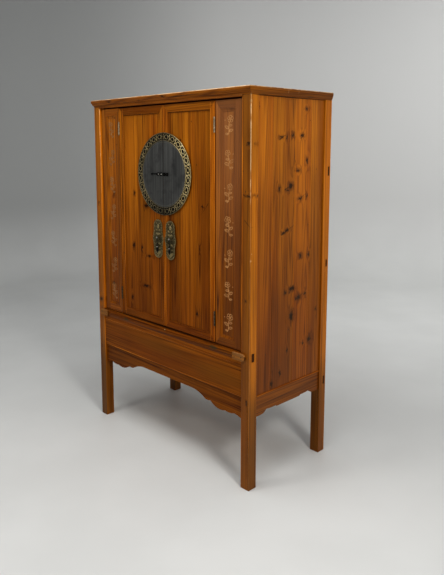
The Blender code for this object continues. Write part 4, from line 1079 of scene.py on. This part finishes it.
def make_ring(material, side, word):
    """Half of the pierced ring: open eyes with a scroll between each two, dots at the seam."""
    y = PLATE_FACE
    bm = bmesh.new()
    middle = (PLATE_RADIUS + RING_INSIDE) / 2
    margin = RING_EDGE / RING_INSIDE
    for k in range(RING_UNITS):
        centre = margin + (math.pi - 2 * margin) * (k + 0.5) / RING_UNITS

        def place(along, out):
            return polar(middle + out, side * (centre + along / middle))
        turns = [math.pi * i / 10 for i in range(22)]
        eye = [place(0.0128 * math.sin(turn), 0.0096 * math.cos(turn)) for turn in turns[:21]]
        ribbon(bm, eye + eye[1:2], y, [0.0024 + 0.0016 * abs(math.sin(turn)) for turn in turns], RING_HIGH)
        if k < RING_UNITS - 1:
            flip = 1 if k % 2 else -1
            between = [place(0.0239 + flip * b * 0.02, flip * a * 0.017) for a, b in SCROLL]
            ribbon(bm, between, y, swelling(len(between), 0.002, 0.004), RING_HIGH)
        if k in (0, RING_UNITS - 1):
            for out in (-0.008, 0.0, 0.008):
                dome(bm, *place(0.019 if k else -0.019, out), y, 0.0028, RING_HIGH, 8, 2)
    add_piece(f"ring_{word}", bm, material, f"door_{word}")


def arc(start, end, bulge, steps):
    """Points after start, up to end. A positive bulge lies to the right."""
    (x0, y0), (x1, y1) = start, end
    chord = math.hypot(x1 - x0, y1 - y0)
    radius = (chord * chord / 4 + bulge * bulge) / (2 * abs(bulge))
    sign = 1 if bulge > 0 else -1
    nx, ny = (y1 - y0) / chord * sign, -(x1 - x0) / chord * sign
    back = radius - abs(bulge)
    cx, cy = (x0 + x1) / 2 - nx * back, (y0 + y1) / 2 - ny * back
    first = math.atan2(y0 - cy, x0 - cx)
    sweep = 2 * math.asin(min(1.0, chord / (2 * radius))) * sign
    turns = [first + sweep * k / steps for k in range(1, steps + 1)]
    return [(cx + radius * math.cos(turn), cy + radius * math.sin(turn)) for turn in turns]


def pull_outline(inset):
    """The pull plate's outline about its middle, drawn in by inset, upwards and back down."""
    w, h, ear = PULL_WIDE - inset, PULL_HIGH - inset, PULL_EAR
    shoulder, waist, knee = (w, h - w - inset * 0.4), (w, 0.034 - inset * 0.4), (w + ear * 0.3, 0.018)
    quarter = [(0, h)] + arc((0, h), shoulder, -0.01, 8) + [(w, 0.05), waist]
    quarter += arc(waist, knee, -0.002, 4) + arc(knee, (w + ear, 0.0), -0.002, 4)
    right = quarter + [(x, -z) for x, z in reversed(quarter[:-1])]
    left = [(-x, z) for x, z in reversed(right[1:-1])]
    return right + left


def evenly(points, step):
    """Points a step apart along a closed line."""
    loop = points + points[:1]
    found, carry = [], 0.0
    for (x0, z0), (x1, z1) in zip(loop, loop[1:]):
        length = math.hypot(x1 - x0, z1 - z0)
        while carry < length:
            t = carry / length
            found.append((x0 + (x1 - x0) * t, z0 + (z1 - z0) * t))
            carry += step
        carry -= length
    return found


def make_pull_relief(material, bright, side, word):
    """Chasing of a pull plate: a wire border, rows of dots, a boss, scrolls and petals."""
    y, cx, cz = PLATE_FACE, side * PULL_X, PULL_Z
    bm = bmesh.new()
    border = [(cx + x, cz + z) for x, z in pull_outline(0.0016)]
    ribbon(bm, border + border[:2], y, [0.0012] * (len(border) + 2), 0.001)
    for inset, step, radius in ((0.0052, 0.0082, 0.0021), (0.01, 0.0074, 0.0012)):
        for x, z in evenly(pull_outline(inset), step):
            dome(bm, cx + x, cz + z, y, radius, 0.0013, 8, 2)
    for level, size, flip in ((0.078, 0.012, -1), (0.044, 0.02, -1), (0.026, 0.018, 1), (-0.024, 0.022, 1),
                              (-0.048, 0.02, -1), (-0.07, 0.015, 1)):
        for hand in (-1, 1):
            points = [(cx + hand * (0.0115 + a * size * 0.4), cz + level + flip * b * size)
                      for a, b in SCROLL]
            ribbon(bm, points, y, swelling(len(points), 0.0012, 0.0028), 0.0011)
    for k in range(7):
        angle = math.pi * (0.6 + 0.8 * k / 6)
        root = (cx + 0.006 * math.sin(angle), cz - 0.06 + 0.006 * math.cos(angle))
        carve_leaf(bm, root, angle, 0.017, y, 1)
    add_piece(f"pull_relief_{word}", bm, material, f"door_{word}")
    bm = bmesh.new()
    dome(bm, cx, cz + 0.062, y, 0.009, 0.003, 24, 5, stretch=1.25)
    dome(bm, cx, cz + 0.0225, y, 0.0048, 0.0042, 16, 4)
    dome(bm, cx, cz - 0.085, y, 0.003, 0.002, 12, 3)
    add_piece(f"pull_boss_{word}", bm, bright, f"door_{word}")


def make_small_metal(iron, bright):
    """Nail heads on the pivot blocks, and the brass stop at the foot of the seam."""
    for side, word in HANDS:
        block = f"pivot_block_{word}"
        bm = bmesh.new()
        z = (low(block).z + high(block).z) / 2
        dome(bm, side * 0.541, z + 0.002, low(block).y, 0.003, 0.0009, 10, 3)
        dome(bm, side * 0.5, z - 0.004, low(block).y, 0.0022, 0.0007, 10, 3)
        add_piece(f"block_nails_{word}", bm, iron, "carcass")
    bm = bmesh.new()
    dome(bm, 0.008, SILL_TOP - 0.007, FRONT - 0.0034, 0.0042, 0.0022, 14, 4)
    add_piece("sill_stop", bm, bright, "carcass")


# ---- back

BACK_RAIL = (1.405, 1.455)
TENON_INSET = 0.003  # how much lower than the rail its tenons are, above and below


def plank(bm, corner_low, corner_high, chamfer):
    """A board with eased arrises."""
    made = bmesh.ops.create_cube(bm, size=1.0)
    centre = (Vector(corner_low) + Vector(corner_high)) / 2
    size = Vector(corner_high) - Vector(corner_low)
    for vert in made["verts"]:
        vert.co = Vector(centre[i] + vert.co[i] * size[i] for i in range(3))
    edges = list({edge for vert in made["verts"] for edge in vert.link_edges})
    bmesh.ops.bevel(bm, geom=edges, offset=chamfer, segments=2, profile=0.6, affect="EDGES")


def make_back_rail():
    """The upper rail behind the back boards, and the ends of its through tenons."""
    wood = pine("pine_back_rail_top", "x", 88.0, light=0.8, gloss=0.42)
    bm = bmesh.new()
    reach = POST_INSIDE - 0.0003
    plank(bm, (-reach, BACK - 0.03, BACK_RAIL[0]), (reach, BACK, BACK_RAIL[1]), 0.0012)
    add_piece("back_rail_top", bm, wood, "carcass")
    dark = pine("pine_tenon_end", "x", 89.0, light=0.42, gloss=0.5, low_dark=0)
    for side, word in HANDS:
        bm = bmesh.new()
        x = sorted((side * (SIDE - 0.004), side * (SIDE + 0.0003)))
        plank(bm, (x[0], BACK - 0.021, BACK_RAIL[0] + TENON_INSET),
              (x[1], BACK - 0.009, BACK_RAIL[1] - TENON_INSET), 0.0005)
        add_piece(f"back_tenon_top_{word}", bm, dark, "carcass")


# ---- all together

make_camera()
make_stage()
make_lights()
dress_posts()
dress_top()
dress_low_front()
dress_sides()
dress_back()
dress_inside()
for side, word, seed in ((-1, "left", 101.0), (1, "right", 131.0)):
    dress_door(side, word, seed)
    dress_leaf(side, word, seed + 31)
dress_metal()
make_beads()
make_sprigs({"left": carving_material("cut_pine_dull", 0.56), "right": carving_material("cut_pine", 0.95)})
# The ring and its rims are painted brighter on the right and darker at the foot, as painted light and shade.
ring_brass = brass_material("ring_brass", 1.1, 1.0, glow=2.2)
rim_brass = brass_material("rim_brass", 0.65, 0.7, glow=2.4)
relief_brass = brass_material("relief_brass", 1.25, 1.0)
bright = brass_material("rubbed_brass", 1.1, 0.95)
for side, word in HANDS:
    make_rims(rim_brass, side, word)
    make_ring(ring_brass, side, word)
    make_pull_relief(relief_brass, bright, side, word)
make_small_metal(iron_material("black_iron", (0.045, 0.038, 0.032), 0.42), bright)
make_back_rail()
